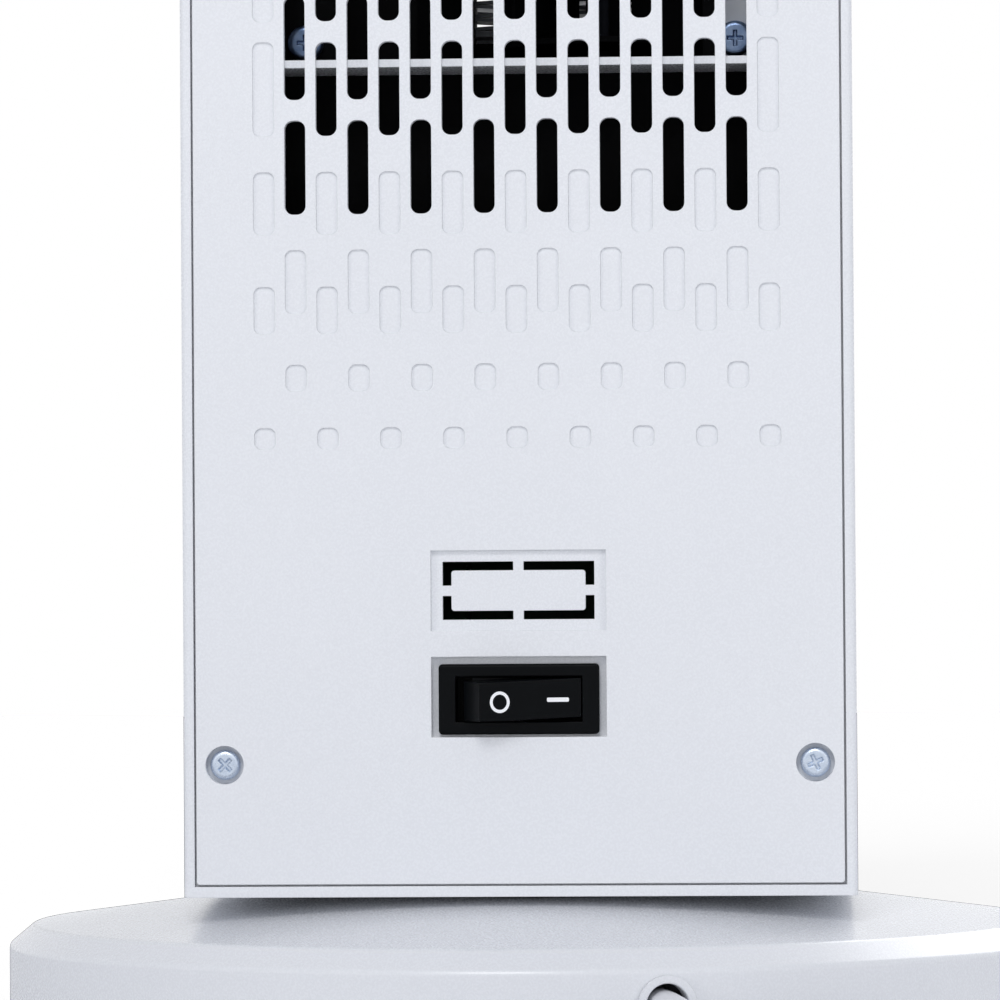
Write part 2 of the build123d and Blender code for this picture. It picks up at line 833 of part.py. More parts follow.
def plug_plane(distance):
    """Plane across the plug, at a distance from the lead's end."""
    return Plane(plug_end + Vector(0, -distance, 0), x_dir=(1, 0, 0), z_dir=(0, -1, 0))


plug_length = plug_sleeve_length + plug_body_length
with BuildPart() as plug:
    with BuildSketch(plug_plane(plug_sleeve_length)):
        RectangleRounded(2.6 * plug_neck_radius, 2.2 * plug_neck_radius, plug_neck_radius)
    with BuildSketch(plug_plane(plug_sleeve_length + 0.6 * plug_body_length)):
        RectangleRounded(plug_face_width, plug_face_height, plug_face_height * 0.4)
    loft()
    with BuildSketch(plug_plane(plug_sleeve_length + 0.6 * plug_body_length)):
        RectangleRounded(plug_face_width, plug_face_height, plug_face_height * 0.4)
    extrude(amount=0.4 * plug_body_length)
    with BuildSketch(plug_plane(0)):
        Circle(plug_sleeve_radius)
    with BuildSketch(plug_plane(plug_sleeve_length)):
        Circle(plug_neck_radius)
    loft()
plug.part.label = "plug"
export_step(plug.part, "parts/plug.step")

with BuildPart() as plug_pins:
    with BuildSketch(plug_plane(plug_length)):
        with Locations((-pin_spacing / 2, 0), (pin_spacing / 2, 0)):
            Circle(pin_radius)
    extrude(amount=pin_length)
    chamfer(plug_pins.edges().group_by(Axis.Y)[0], pin_chamfer)
plug_pins.part.label = "plug_pins"
export_step(plug_pins.part, "parts/plug_pins.step")


def tower_outline(inset, rear_reach):
    """Tower's plan, drawn in by an inset, with its back edge at a reach behind the axis."""
    half = tower_width / 2 - inset
    with BuildSketch() as plan:
        with Locations((0, (front + inset + rear_reach) / 2)):
            Rectangle(2 * half, rear_reach - front - inset)
        fillet(plan.vertices().group_by(Axis.Y)[0], front_rounding - inset)
    return plan.sketch


grille_bottom = deck_top + grille_margin
grille_top = roof_bottom - grille_margin
cover_half = inner_half_width - cover_gap
cover_top = shell_top - cover_gap
cover_screw_x = cover_half - cover_screw_inset
screw_heights = [cover_line + cover_screw_rise, shell_top - cover_screw_drop]
cup_radius = cover_screw_recess + cup_wall
cup_back = back - cover_screw_depth - cup_wall
boss_front = cup_back - side_gap
window_z = shell_top - window_drop
board_y = front + tower_wall + standoff_length
board_centre_z = cover_line + power_board_rise + power_board_size / 2
standoff_offset = power_board_size / 2 - standoff_inset
floor_ribs = [deck_bottom, roof_bottom]

# Housing shell: floor, sides, rounded front, open back and top
with BuildPart() as housing_shell:
    with BuildSketch(Plane.XY.offset(tower_bottom)):
        add(tower_outline(0, back))
    extrude(amount=shell_top - tower_bottom)
    rear_edges = housing_shell.edges().filter_by(Axis.Z).group_by(Axis.Y)[-1]
    fillet(rear_edges, rear_rounding)
    with BuildSketch(Plane.XY.offset(tower_floor)):
        add(tower_outline(tower_wall, back + tower_wall))
    extrude(amount=shell_top - tower_floor, mode=Mode.SUBTRACT)
    post((0, 0), hub_radius + touch_gap, (tower_bottom, tower_floor), Mode.SUBTRACT)
    with BuildSketch(Plane.XY.offset(tower_bottom)):
        with PolarLocations(hub_screw_circle, 4, start_angle=45):
            Circle(screw_radius + touch_gap)
    extrude(amount=tower_wall, mode=Mode.SUBTRACT)
    block(
        (-grille_width / 2, grille_width / 2),
        (front, front + tower_wall),
        (grille_bottom, grille_top),
        Mode.SUBTRACT,
    )
    block(
        (-window_width / 2, window_width / 2),
        (front, front + tower_wall),
        (window_z - window_height / 2, window_z + window_height / 2),
        Mode.SUBTRACT,
    )
    for side in (-1, 1):
        inner_x = side * inner_half_width
        ledge_x = side * (inner_half_width - ledge_width)
        ledge = (min(inner_x, ledge_x), max(inner_x, ledge_x))
        ledge_back = cover_inside - touch_gap
        block(ledge, (ledge_back - ledge_depth, ledge_back), (tower_floor, shell_top))
        rib_x = side * (inner_half_width - rib_width)
        rib = (min(inner_x, rib_x), max(inner_x, rib_x))
        for rib_top in floor_ribs:
            block(rib, (-rib_length / 2, rib_length / 2), (rib_top - rib_height, rib_top))
            for end in (-1, 1):
                hole = (side * (inner_half_width - rib_width / 2), end * rib_length / 3)
                post(hole, screw_radius + touch_gap, (rib_top - rib_height, rib_top), Mode.SUBTRACT)
    block(
        (-inner_half_width, inner_half_width),
        (cover_inside - touch_gap - ledge_depth, cover_inside - touch_gap),
        (tower_floor, tower_floor + ledge_width),
    )
    with BuildSketch(back_plane(cover_inside)) as cup_room:
        with Locations(*[(side * cover_screw_x, z) for side in (-1, 1) for z in screw_heights]):
            Circle(cup_radius + side_gap)
    extrude(cup_room.sketch, amount=2 * ledge_depth, mode=Mode.SUBTRACT)
    for side in (-1, 1):
        for z in screw_heights:
            with BuildSketch(back_plane(boss_front)) as boss:
                with Locations((side * cover_screw_x, z)):
                    Circle(boss_radius)
                with Locations((side * (cover_screw_x + inner_half_width) / 2, z)):
                    Rectangle(inner_half_width - cover_screw_x, boss_radius)
            extrude(boss.sketch, amount=cover_screw_length + 2)
            with BuildSketch(back_plane(boss_front)) as pilot:
                with Locations((side * cover_screw_x, z)):
                    Circle(screw_radius + touch_gap)
            extrude(pilot.sketch, amount=cover_screw_length, mode=Mode.SUBTRACT)
    with BuildSketch(back_plane(board_y)) as standoffs:
        with Locations((0, board_centre_z)):
            with GridLocations(2 * standoff_offset, 2 * standoff_offset, 2, 2):
                Circle(standoff_radius)
    extrude(standoffs.sketch, amount=standoff_length + tower_wall / 2)
housing_shell.part.label = "housing_shell"
export_step(housing_shell.part, "parts/housing_shell.step")


def fade_cells(start, fade, direction):
    """Centre heights and lengths of a column's blind cells beyond its through slots."""
    cells = []
    edge = start
    for gap, length in fade:
        cells.append((edge + direction * (gap + length / 2), length))
        edge += direction * (gap + length)
    return cells


odd_columns = even_columns - 1
even_xs = [(k - (even_columns - 1) / 2) * column_pitch for k in range(even_columns)]
odd_xs = [(k - (odd_columns - 1) / 2) * column_pitch for k in range(odd_columns)]
outer_xs = [-even_columns / 2 * column_pitch, even_columns / 2 * column_pitch]


def column_slots(first, rows):
    """Bottoms and lengths of a column's through slots: a short one, then longer ones."""
    slots = [(cover_line + first, slot_length)]
    for k in range(rows - 1):
        bottom = cover_line + first + slot_pitch + k * (slot_pitch + slot_growth)
        slots.append((bottom, slot_length + slot_growth))
    return slots


even_slots = column_slots(even_first, slot_rows)
odd_slots = column_slots(odd_first, slot_rows - 1)
through = [(x, bottom + length / 2, length) for x in even_xs for bottom, length in even_slots]
through += [(x, bottom + length / 2, length) for x in odd_xs for bottom, length in odd_slots]
blind = [(x, bottom + length / 2, length) for x in outer_xs for bottom, length in odd_slots]
for xs, slots, fade in ((even_xs, even_slots, even_fade), (odd_xs + outer_xs, odd_slots, odd_fade)):
    ends = fade_cells(slots[0][0], fade, -1) + fade_cells(sum(slots[-1]), fade, 1)
    blind += [(x, z, length) for x in xs for z, length in ends]

blank_z = cover_line + blank_rise
switch_z = cover_line + switch_rise
bezel_z = switch_z - switch_drop
grip_z = shell_top - grip_drop
switch_floor = back - switch_recess_depth
pad_inside = switch_floor - pad_thickness

# Back cover: slots, blind cells, screw cups, knock-out blank, switch recess and grip recess
with BuildPart() as rear_cover:
    with BuildSketch(back_plane(back)) as cover_face:
        with Locations((0, (cover_bottom + cover_top) / 2)):
            RectangleRounded(2 * cover_half, cover_top - cover_bottom, blank_corner)
        for length in (slot_length, slot_length + slot_growth):
            with Locations(*[(x, z) for x, z, slot in through if slot == length]):
                RectangleRounded(slot_width, length, slot_corner, mode=Mode.SUBTRACT)
    extrude(amount=cover_thickness)
    with BuildSketch(back_plane(back)):
        for length in sorted({cell[2] for cell in blind}):
            with Locations(*[(x, z) for x, z, cell_length in blind if cell_length == length]):
                RectangleRounded(slot_width, length, blind_corner)
    extrude(amount=blind_depth, mode=Mode.SUBTRACT)
    cup_places = [(side * cover_screw_x, z) for side in (-1, 1) for z in screw_heights]
    with BuildSketch(back_plane(cover_inside)):
        with Locations(*cup_places):
            Circle(cup_radius)
    extrude(amount=cover_inside - cup_back)
    with BuildSketch(back_plane(back)):
        with Locations(*cup_places):
            Circle(cover_screw_recess)
    extrude(amount=cover_screw_depth, mode=Mode.SUBTRACT)
    with BuildSketch(back_plane(back)):
        with Locations(*cup_places):
            Circle(screw_radius + touch_gap)
    extrude(amount=back - cup_back, mode=Mode.SUBTRACT)
    with BuildSketch(back_plane(back)):
        with Locations((0, blank_z)):
            Rectangle(recess_width, recess_height)
    extrude(amount=blank_depth, mode=Mode.SUBTRACT)
    with BuildSketch(back_plane(back)):
        with Locations((0, blank_z)):
            Rectangle(blank_outer_width, blank_outer_height)
            RectangleRounded(
                blank_outer_width - 2 * blank_slot,
                blank_outer_height - 2 * blank_slot,
                blank_corner,
                mode=Mode.SUBTRACT,
            )
            Rectangle(blank_bridge, blank_outer_height, mode=Mode.SUBTRACT)
            Rectangle(blank_outer_width, blank_bridge, mode=Mode.SUBTRACT)
    extrude(amount=cover_thickness, mode=Mode.SUBTRACT)
    with BuildSketch(back_plane(cover_inside)):
        with Locations((0, switch_z)):
            Rectangle(recess_width + pad_margin, recess_height + pad_margin)
    extrude(amount=cover_inside - pad_inside)
    with BuildSketch(back_plane(back)):
        with Locations((0, switch_z)):
            Rectangle(recess_width, recess_height)
    extrude(amount=switch_recess_depth, mode=Mode.SUBTRACT)
    with BuildSketch(back_plane(back)):
        with Locations((0, bezel_z)):
            Rectangle(switch_body_width + 2 * side_gap, switch_body_height + 2 * side_gap)
    extrude(amount=back - pad_inside, mode=Mode.SUBTRACT)
    shelf_top = deck_top - shelf_drop
    block(
        (-shelf_width / 2, shelf_width / 2),
        (deck_rear + side_gap, cover_inside),
        (shelf_top - shelf_thickness, shelf_top),
    )
    with BuildSketch(back_plane(cover_inside)):
        with Locations((0, grip_z)):
            RectangleRounded(grip_width + 2 * grip_wall, grip_height + 2 * grip_wall, grip_corner + grip_wall)
    extrude(amount=grip_depth + grip_wall - cover_thickness)
    with BuildSketch(back_plane(back)):
        with Locations((0, grip_z)):
            RectangleRounded(grip_width, grip_height, grip_corner)
    extrude(amount=grip_depth, mode=Mode.SUBTRACT)
rear_cover.part.label = "rear_cover"
export_step(rear_cover.part, "parts/rear_cover.step")

# Screws of the back cover, heads in their cups
cover_screw = cross_screw(pan_head_radius, pan_head_height, cover_screw_length)
with BuildPart() as rear_cover_screws:
    for side in (-1, 1):
        for z in screw_heights:
            seat = Location((side * cover_screw_x, back - cover_screw_depth, z), (-90, 0, 0))
            turn = Location((0, 0, 0), (0, 0, 45 if side > 0 else 25))
            add(cover_screw.moved(seat * turn))
rear_cover_screws.part.label = "rear_cover_screws"
export_step(rear_cover_screws.part, "parts/rear_cover_screws.step")

# Switch housing: bezel, snap-in body and the cavity that the rocker tilts in
pivot_y = back - switch_recess_depth + bezel_thickness + rocker_flush
pivot_y -= rocker_height * cos(radians(rocker_angle)) - rocker_face / 2 * sin(radians(rocker_angle))
bezel_front = switch_floor + bezel_thickness
body_back = switch_floor - switch_body_depth
with BuildPart() as switch_housing:
    with BuildSketch(back_plane(switch_floor)):
        with Locations((0, bezel_z)):
            RectangleRounded(bezel_width, bezel_height, bezel_corner)
    extrude(amount=-bezel_thickness)
    chamfer(switch_housing.edges().group_by(Axis.Y)[-1], bezel_corner / 2)
    with BuildSketch(back_plane(switch_floor)):
        with Locations((0, bezel_z)):
            Rectangle(switch_body_width, switch_body_height)
    extrude(amount=switch_body_depth)
    with BuildSketch(back_plane(switch_floor)):
        with Locations((0, bezel_z)):
            Rectangle(switch_cavity_width, switch_window_height + 2 * side_gap)
    extrude(amount=switch_cavity_depth, mode=Mode.SUBTRACT)
    with BuildSketch(back_plane(bezel_front)):
        with Locations((0, bezel_z)):
            Rectangle(switch_window_width, switch_window_height)
    extrude(amount=bezel_thickness, mode=Mode.SUBTRACT)
    pin_reach = rocker_thickness / 2 + rocker_pin_reach + side_gap
    post((0, pivot_y), rocker_pin_radius + touch_gap, (bezel_z - pin_reach, bezel_z + pin_reach), Mode.SUBTRACT)
switch_housing.part.label = "switch_housing"
export_step(switch_housing.part, "parts/switch_housing.step")

# Rocker, tilted so that its -X half is pressed
rocker_half = rocker_face / 2
rocker_foot = rocker_half + rocker_flank * tan(radians(rocker_angle))
rocker_along = Vector(cos(radians(rocker_angle)), sin(radians(rocker_angle)), 0)
rocker_out = Vector(-rocker_along.Y, rocker_along.X, 0)


def rocker_plane(reach):
    """Plane across the rocker, at a reach from its pivot towards the face."""
    return Plane(Vector(0, pivot_y, bezel_z) + rocker_out * reach, x_dir=rocker_along, z_dir=rocker_out)


def rocker_flank_plane(side):
    """Plane of the upper (-1) or lower (1) flank, which leans and has draft."""
    face = rocker_plane(rocker_height)
    lean = radians(rocker_lean)
    draft = atan(rocker_draft / rocker_flank)
    edge = face.x_dir * cos(lean) + face.y_dir * sin(lean)
    outward = (face.y_dir * cos(lean) - face.x_dir * sin(lean)) * side
    start = face.origin + face.y_dir * (rocker_sink + side * (rocker_thickness / 2 - rocker_draft))
    return Plane(start, x_dir=edge, z_dir=outward * cos(draft) + face.z_dir * sin(draft))


with BuildPart() as switch_rocker:
    with BuildSketch(rocker_plane(rocker_height - rocker_flank)):
        Rectangle(2 * rocker_foot, rocker_thickness)
    with BuildSketch(rocker_plane(rocker_height)):
        Rectangle(rocker_face, rocker_thickness)
    loft(ruled=True)
    for side in (-1, 1):
        split(bisect_by=rocker_flank_plane(side), keep=Keep.BOTTOM)
    with BuildSketch(rocker_plane(rocker_height - rocker_flank)):
        Rectangle(rocker_face, rocker_thickness)
    with BuildSketch(rocker_plane(-rocker_pin_radius)):
        Rectangle(rocker_half, rocker_thickness)
    loft(ruled=True)
    pin_half = rocker_thickness / 2 + rocker_pin_reach
    post((0, pivot_y), rocker_pin_radius, (bezel_z - pin_half, bezel_z + pin_half))
switch_rocker.part.label = "switch_rocker"
export_step(switch_rocker.part, "parts/switch_rocker.step")

# Spade terminals behind the switch
with BuildPart() as switch_terminals:
    with BuildSketch(back_plane(body_back)):
        with Locations((0, bezel_z)):
            with GridLocations(switch_body_width / 2, switch_body_height / 2, 2, 2):
                Rectangle(spade_thickness, spade_width * 0.7)
    extrude(amount=spade_length)
switch_terminals.part.label = "switch_terminals"
export_step(switch_terminals.part, "parts/switch_terminals.step")

# Front grille: frame behind the shell's wall and rows of slots
grille_height = grille_top - grille_bottom - 2 * cover_gap
grille_face_width = grille_width - 2 * cover_gap
grille_cell = (grille_face_width - (grille_columns + 1) * grille_post) / grille_columns
grille_rows = int((grille_height - 2 * grille_post) / grille_pitch)
grille_z = (grille_bottom + grille_top) / 2
with BuildPart() as front_grille:
    with BuildSketch(back_plane(front)):
        with Locations((0, grille_z)):
            RectangleRounded(grille_face_width, grille_height, grille_rounding)
            with GridLocations(grille_cell + grille_post, grille_pitch, grille_columns, grille_rows):
                RectangleRounded(grille_cell, grille_slot, grille_rounding, mode=Mode.SUBTRACT)
    extrude(amount=-grille_depth)
    with BuildSketch(back_plane(front + tower_wall + touch_gap)):
        with Locations((0, grille_z)):
            Rectangle(grille_width + 2 * grille_flange, grille_height + 2 * (cover_gap + grille_flange))
            Rectangle(grille_face_width - 2 * grille_flange, grille_height - 2 * grille_flange, mode=Mode.SUBTRACT)
    extrude(amount=-(grille_depth - tower_wall - touch_gap))
front_grille.part.label = "front_grille"
export_step(front_grille.part, "parts/front_grille.step")

# Smoked display window in the front, above the grille
with BuildPart() as display_window:
    with BuildSketch(back_plane(front)):
        with Locations((0, window_z)):
            Rectangle(window_width - 2 * side_gap, window_height - 2 * side_gap)
    extrude(amount=-tower_wall)
    with BuildSketch(back_plane(front + tower_wall)):
        with Locations((0, window_z)):
            Rectangle(window_width + 2 * window_flange, window_height + 2 * window_flange)
    extrude(amount=-window_flange_thickness)
display_window.part.label = "display_window"
export_step(display_window.part, "parts/display_window.step")

# Top cover with button holes, inner lip and posts for the control board
cap_inside = tower_top - cap_wall
control_board_z = shell_top + control_board_drop
control_board_top = control_board_z + board_thickness
button_xs = [(k - (len(button_names) - 1) / 2) * button_pitch for k in range(len(button_names))]
board_post_x = control_board_width / 2 - standoff_inset
board_post_y = control_board_depth / 2 - standoff_inset
with BuildPart() as top_cover:
    with BuildSketch(Plane.XY.offset(shell_top)):
        add(tower_outline(0, back))
    extrude(amount=cap_height)
    fillet(top_cover.edges().filter_by(Axis.Z).group_by(Axis.Y)[-1], rear_rounding)
    fillet(top_cover.edges().group_by(Axis.Z)[-1], cap_rounding)
    with BuildSketch(Plane.XY.offset(shell_top)):
        add(tower_outline(cap_wall, back - cap_wall))
    extrude(amount=cap_height - cap_wall, mode=Mode.SUBTRACT)
    with BuildSketch(Plane.XY.offset(shell_top - lip_height)):
        add(tower_outline(tower_wall + side_gap, back - grip_depth - 2 * grip_wall))
        add(tower_outline(tower_wall + side_gap + cap_wall, back), mode=Mode.SUBTRACT)
    extrude(amount=lip_height + cap_wall)
    with BuildSketch(Plane.XY.offset(cap_inside)):
        with Locations(*[(x, button_y) for x in button_xs]):
            Circle(button_radius + button_gap)
    extrude(amount=cap_wall, mode=Mode.SUBTRACT)
    with BuildSketch(Plane.XY.offset(control_board_top)):
        with Locations((0, control_board_y)):
            with GridLocations(2 * board_post_x, 2 * board_post_y, 2, 2):
                Circle(standoff_radius)
    extrude(amount=cap_inside - control_board_top + touch_gap)
top_cover.part.label = "top_cover"
export_step(top_cover.part, "parts/top_cover.step")

# Control board with one key under each button
with BuildPart() as control_board:
    with BuildSketch(Plane.XY.offset(control_board_z)):
        with Locations((0, control_board_y)):
            Rectangle(control_board_width, control_board_depth)
    extrude(amount=board_thickness)
    with BuildSketch(Plane.XY.offset(control_board_top)):
        with Locations(*[(x, button_y) for x in button_xs]):
            Rectangle(key_size, key_size)
    extrude(amount=key_height)
control_board.part.label = "control_board"
export_step(control_board.part, "parts/control_board.step")

# Push buttons, each a node and a moving piece of its own
stem_bottom = control_board_top + key_height + button_travel + side_gap
skirt_bottom = tower_top - cap_wall - button_travel - button_flange_thickness - side_gap
button_top = tower_top + button_proud
for button_name, button_x in zip(button_names, button_xs):
    with BuildPart() as button:
        post((button_x, button_y), button_radius, (skirt_bottom, button_top))
        fillet(button.edges().group_by(Axis.Z)[-1], button_proud / 2)
        post(
            (button_x, button_y),
            button_radius + button_flange,
            (skirt_bottom, skirt_bottom + button_flange_thickness),
        )
        post((button_x, button_y), button_stem_radius, (stem_bottom, skirt_bottom))
    button.part.label = button_name
    export_step(button.part, f"parts/{button_name}.step")

# Power board on the standoffs of the front wall, with its larger components
with BuildPart() as power_board:
    with BuildSketch(back_plane(board_y)) as board:
        with Locations((0, board_centre_z)):
            Rectangle(power_board_size, power_board_size)
    extrude(amount=-board_thickness)
    parts_y = board_y + board_thickness
    for x, z, width, height, depth in (
        (-28, 24, 19, 15, 15),
        (-4, 24, 19, 15, 15),
        (24, 20, 26, 30, 20),
        (-24, -18, 30, 10, 12),
        (22, -22, 14, 22, 11),
    ):
        block(
            (x - width / 2, x + width / 2),
            (parts_y, parts_y + depth),
            (board_centre_z + z - height / 2, board_centre_z + z + height / 2),
        )
power_board.part.label = "power_board"
export_step(power_board.part, "parts/power_board.step")

# Terminal block on the hub's collar, where the lead ends
with BuildPart() as terminal_block:
    block(
        (-terminal_width / 2, terminal_width / 2),
        (-terminal_depth / 2, terminal_depth / 2),
        (collar_top, collar_top + terminal_height),
    )
    chamfer(terminal_block.edges().group_by(Axis.Z)[-1], 1)
    with BuildSketch(Plane.XY.offset(collar_top + terminal_height)):
        with GridLocations(terminal_width / 4, terminal_depth / 2, 3, 2):
            Circle(screw_radius * 1.4)
    extrude(amount=-terminal_height / 3, mode=Mode.SUBTRACT)
terminal_block.part.label = "terminal_block"
export_step(terminal_block.part, "parts/terminal_block.step")

# Tilt switch on the tower's floor
tilt_x = inner_half_width - 0.8 * tilt_width
with BuildPart() as tilt_switch:
    block(
        (tilt_x - tilt_width / 2, tilt_x + tilt_width / 2),
        (-tilt_depth / 2, tilt_depth / 2),
        (tower_floor, tower_floor + tilt_height),
    )
    fillet(tilt_switch.edges().filter_by(Axis.Z), 2)
tilt_switch.part.label = "tilt_switch"
export_step(tilt_switch.part, "parts/tilt_switch.step")

# White deck that shows through the slots, and the plate above the fan
wheel_bottom = deck_top + wheel_end_gap
wheel_top = roof_bottom - wheel_end_gap
motor_ears = [(fan_x + motor_ear_circle * cos(a), fan_y + motor_ear_circle * sin(a)) for a in (pi / 9, -pi / 3)]
deck_front = front + tower_wall + grille_flange + 1
rib_holes = [
    (side * (inner_half_width - rib_width / 2), end * rib_length / 3) for side in (-1, 1) for end in (-1, 1)
]
plate_half = inner_half_width - side_gap
plate_front = front + front_rounding


def inner_plate(bottom, centre_hole, ear_holes):
    """White plate across the tower, on the ribs of both side walls."""
    with BuildPart() as plate:
        block((-plate_half, plate_half), (plate_front, deck_rear), (bottom, bottom + deck_thickness))
        post((fan_x, fan_y), centre_hole, (bottom, bottom + deck_thickness), Mode.SUBTRACT)
        for hole in rib_holes + ear_holes:
            post(hole, screw_radius + touch_gap, (bottom, bottom + deck_thickness), Mode.SUBTRACT)
    return plate.part


with BuildPart() as fan_deck:
    add(inner_plate(deck_bottom, 2 * shaft_radius, motor_ears))
fan_deck.part.label = "fan_deck"
export_step(fan_deck.part, "parts/fan_deck.step")

with BuildPart() as fan_top_plate:
    add(inner_plate(roof_bottom, shaft_radius + running_gap, []))
fan_top_plate.part.label = "fan_top_plate"
export_step(fan_top_plate.part, "parts/fan_top_plate.step")

deck_screw = cross_screw(pan_head_radius - 0.6, pan_head_height - 0.3, rib_height)
with BuildPart() as deck_screws:
    with Locations(*[(x, y, top) for x, y in rib_holes for top in (deck_top, roof_top)]):
        add(deck_screw)
deck_screws.part.label = "deck_screws"
export_step(deck_screws.part, "parts/deck_screws.step")

# Black duct round fan and heater: side walls, back flanges and cross ties in front
duct_top = roof_bottom - touch_gap
duct_screw_zs = [deck_top + duct_head_radius + side_gap, roof_bottom - duct_head_radius - 2 * side_gap]
with BuildPart() as fan_duct:
    for side in (-1, 1):
        wall = sorted((side * duct_half_width, side * (duct_half_width - duct_wall)))
        block(wall, (duct_fore, duct_rear), (deck_top, duct_top))
        flange = sorted((side * flange_near, side * flange_far))
        block(flange, (duct_rear - duct_wall, duct_rear), (deck_top, duct_top))
    for tie_bottom in (deck_top, duct_top - duct_tie_height):
        block(
            (-duct_half_width, duct_half_width),
            (duct_fore, duct_fore + duct_wall),
            (tie_bottom, tie_bottom + duct_tie_height),
        )
    with BuildSketch(back_plane(duct_rear)) as flange_holes:
        with Locations(*[(side * duct_screw_x, z) for side in (-1, 1) for z in duct_screw_zs]):
            Circle(screw_radius + touch_gap)
    extrude(flange_holes.sketch, amount=duct_screw_length + running_gap, mode=Mode.SUBTRACT)
fan_duct.part.label = "fan_duct"
export_step(fan_duct.part, "parts/fan_duct.step")

# Light grey bracket strip over the duct's flange on the -X side
with BuildPart() as side_bracket:
    with BuildSketch(back_plane(duct_rear)):
        with BuildLine():
            Polyline((-flange_far, deck_top), (-bracket_edge, deck_top), (-bracket_edge, duct_top), (-flange_far, duct_top), close=True)
        make_face()
        with Locations(*[(-duct_screw_x, z) for z in duct_screw_zs]):
            Circle(screw_radius + touch_gap, mode=Mode.SUBTRACT)
    extrude(amount=-bracket_thickness)
side_bracket.part.label = "side_bracket"
export_step(side_bracket.part, "parts/side_bracket.step")

# Screws of the duct's flanges, seen through the slots
duct_screw = cross_screw(duct_head_radius, duct_head_height, duct_screw_length)
with BuildPart() as duct_screws:
    for side, seat_y in ((-1, duct_rear + bracket_thickness), (1, duct_rear)):
        for z in duct_screw_zs:
            add(duct_screw.moved(Location((side * duct_screw_x, seat_y, z), (-90, 0, 0))))
duct_screws.part.label = "duct_screws"
export_step(duct_screws.part, "parts/duct_screws.step")

# Cross-flow wheel: curved blades between discs
blade_mean = (fan_radius + fan_inner_radius) / 2
with BuildPart() as fan_wheel:
    with BuildSketch(Plane.XY.offset(wheel_bottom)) as blades:
        with Locations((fan_x, fan_y)):
            with PolarLocations(0, fan_blades):
                with Locations((blade_mean, 0)):
                    Rectangle(fan_radius - fan_inner_radius, blade_thickness, rotation=blade_lean)
    extrude(amount=wheel_top - wheel_bottom)
    disc_span = wheel_top - wheel_bottom - disc_thickness
    for k in range(disc_count):
        with BuildSketch(Plane.XY.offset(wheel_bottom + k * disc_span / (disc_count - 1))) as disc:
            with Locations((fan_x, fan_y)):
                Circle(fan_radius)
                is_end = k in (0, disc_count - 1)
                Circle(shaft_radius if is_end else fan_inner_radius - 2, mode=Mode.SUBTRACT)
        extrude(disc.sketch, amount=disc_thickness)
fan_wheel.part.label = "fan_wheel"
export_step(fan_wheel.part, "parts/fan_wheel.step")

# Shaft through wheel, rotor and upper bush
motor_bottom = deck_bottom - motor_height
shaft_bottom = motor_bottom + motor_end_wall / 2
shaft_top = roof_top + bush_height - running_gap
with BuildPart() as fan_shaft:
    post((fan_x, fan_y), shaft_radius, (shaft_bottom, shaft_top))
    chamfer(fan_shaft.edges().group_by(Axis.Z)[-1], 0.5)
fan_shaft.part.label = "fan_shaft"
export_step(fan_shaft.part, "parts/fan_shaft.step")

# Fan motor under the deck, hollow for its rotor
cavity_range = (motor_bottom + motor_end_wall, deck_bottom - motor_end_wall)
with BuildPart() as fan_motor:
    post((fan_x, fan_y), motor_radius, (motor_bottom, deck_bottom))
    fillet(fan_motor.edges().group_by(Axis.Z)[0], 2)
    for ear in motor_ears:
        post(ear, motor_ear_radius, (deck_bottom - motor_end_wall, deck_bottom))
        post(ear, screw_radius + touch_gap, (deck_bottom - motor_end_wall, deck_bottom), Mode.SUBTRACT)
    post((fan_x, fan_y), motor_cavity_radius, cavity_range, Mode.SUBTRACT)
    post((fan_x, fan_y), shaft_radius + shaft_gap, (shaft_bottom - running_gap, deck_bottom), Mode.SUBTRACT)
fan_motor.part.label = "fan_motor"
export_step(fan_motor.part, "parts/fan_motor.step")

with BuildPart() as motor_rotor:
    rotor_range = (cavity_range[0] + 2 * rotor_gap, cavity_range[1] - 2 * rotor_gap)
    post((fan_x, fan_y), motor_cavity_radius - rotor_gap, rotor_range)
    post((fan_x, fan_y), shaft_radius, rotor_range, Mode.SUBTRACT)
motor_rotor.part.label = "motor_rotor"
export_step(motor_rotor.part, "parts/motor_rotor.step")

motor_screw = cross_screw(pan_head_radius - 0.4, pan_head_height, motor_screw_length)
with BuildPart() as fan_motor_screws:
    with Locations(*[(x, y, deck_top) for x, y in motor_ears]):
        add(motor_screw)
fan_motor_screws.part.label = "fan_motor_screws"
export_step(fan_motor_screws.part, "parts/fan_motor_screws.step")

# Bush of the upper shaft end
with BuildPart() as bearing_bush:
    post((fan_x, fan_y), bush_flange_radius, (roof_top, roof_top + bush_flange_thickness))
    post((fan_x, fan_y), bush_radius, (roof_top, roof_top + bush_height))
    post((fan_x, fan_y), shaft_radius + shaft_gap, (roof_top, roof_top + bush_height), Mode.SUBTRACT)
bearing_bush.part.label = "bearing_bush"
export_step(bearing_bush.part, "parts/bearing_bush.step")

# Black shroud round the motor, below the deck
shroud_back = deck_rear - running_gap
with BuildPart() as motor_shroud:
    shroud_z = (deck_bottom - shroud_height, deck_bottom)
    block((-duct_half_width, duct_half_width), (-rib_length / 2, shroud_back), shroud_z)
    block(
        (-duct_half_width + duct_wall, duct_half_width - duct_wall),
        (-rib_length / 2, shroud_back - duct_wall),
        shroud_z,
        Mode.SUBTRACT,
    )
motor_shroud.part.label = "motor_shroud"
export_step(motor_shroud.part, "parts/motor_shroud.step")

# Curved scroll wall on the -X side of the wheel, and the tongue plate on the other side
scroll_radius = fan_radius + scroll_gap
scroll_end = 200.0
duct_inside = duct_half_width - duct_wall - touch_gap
heater_back = duct_fore + duct_wall + heater_margin + heater_depth


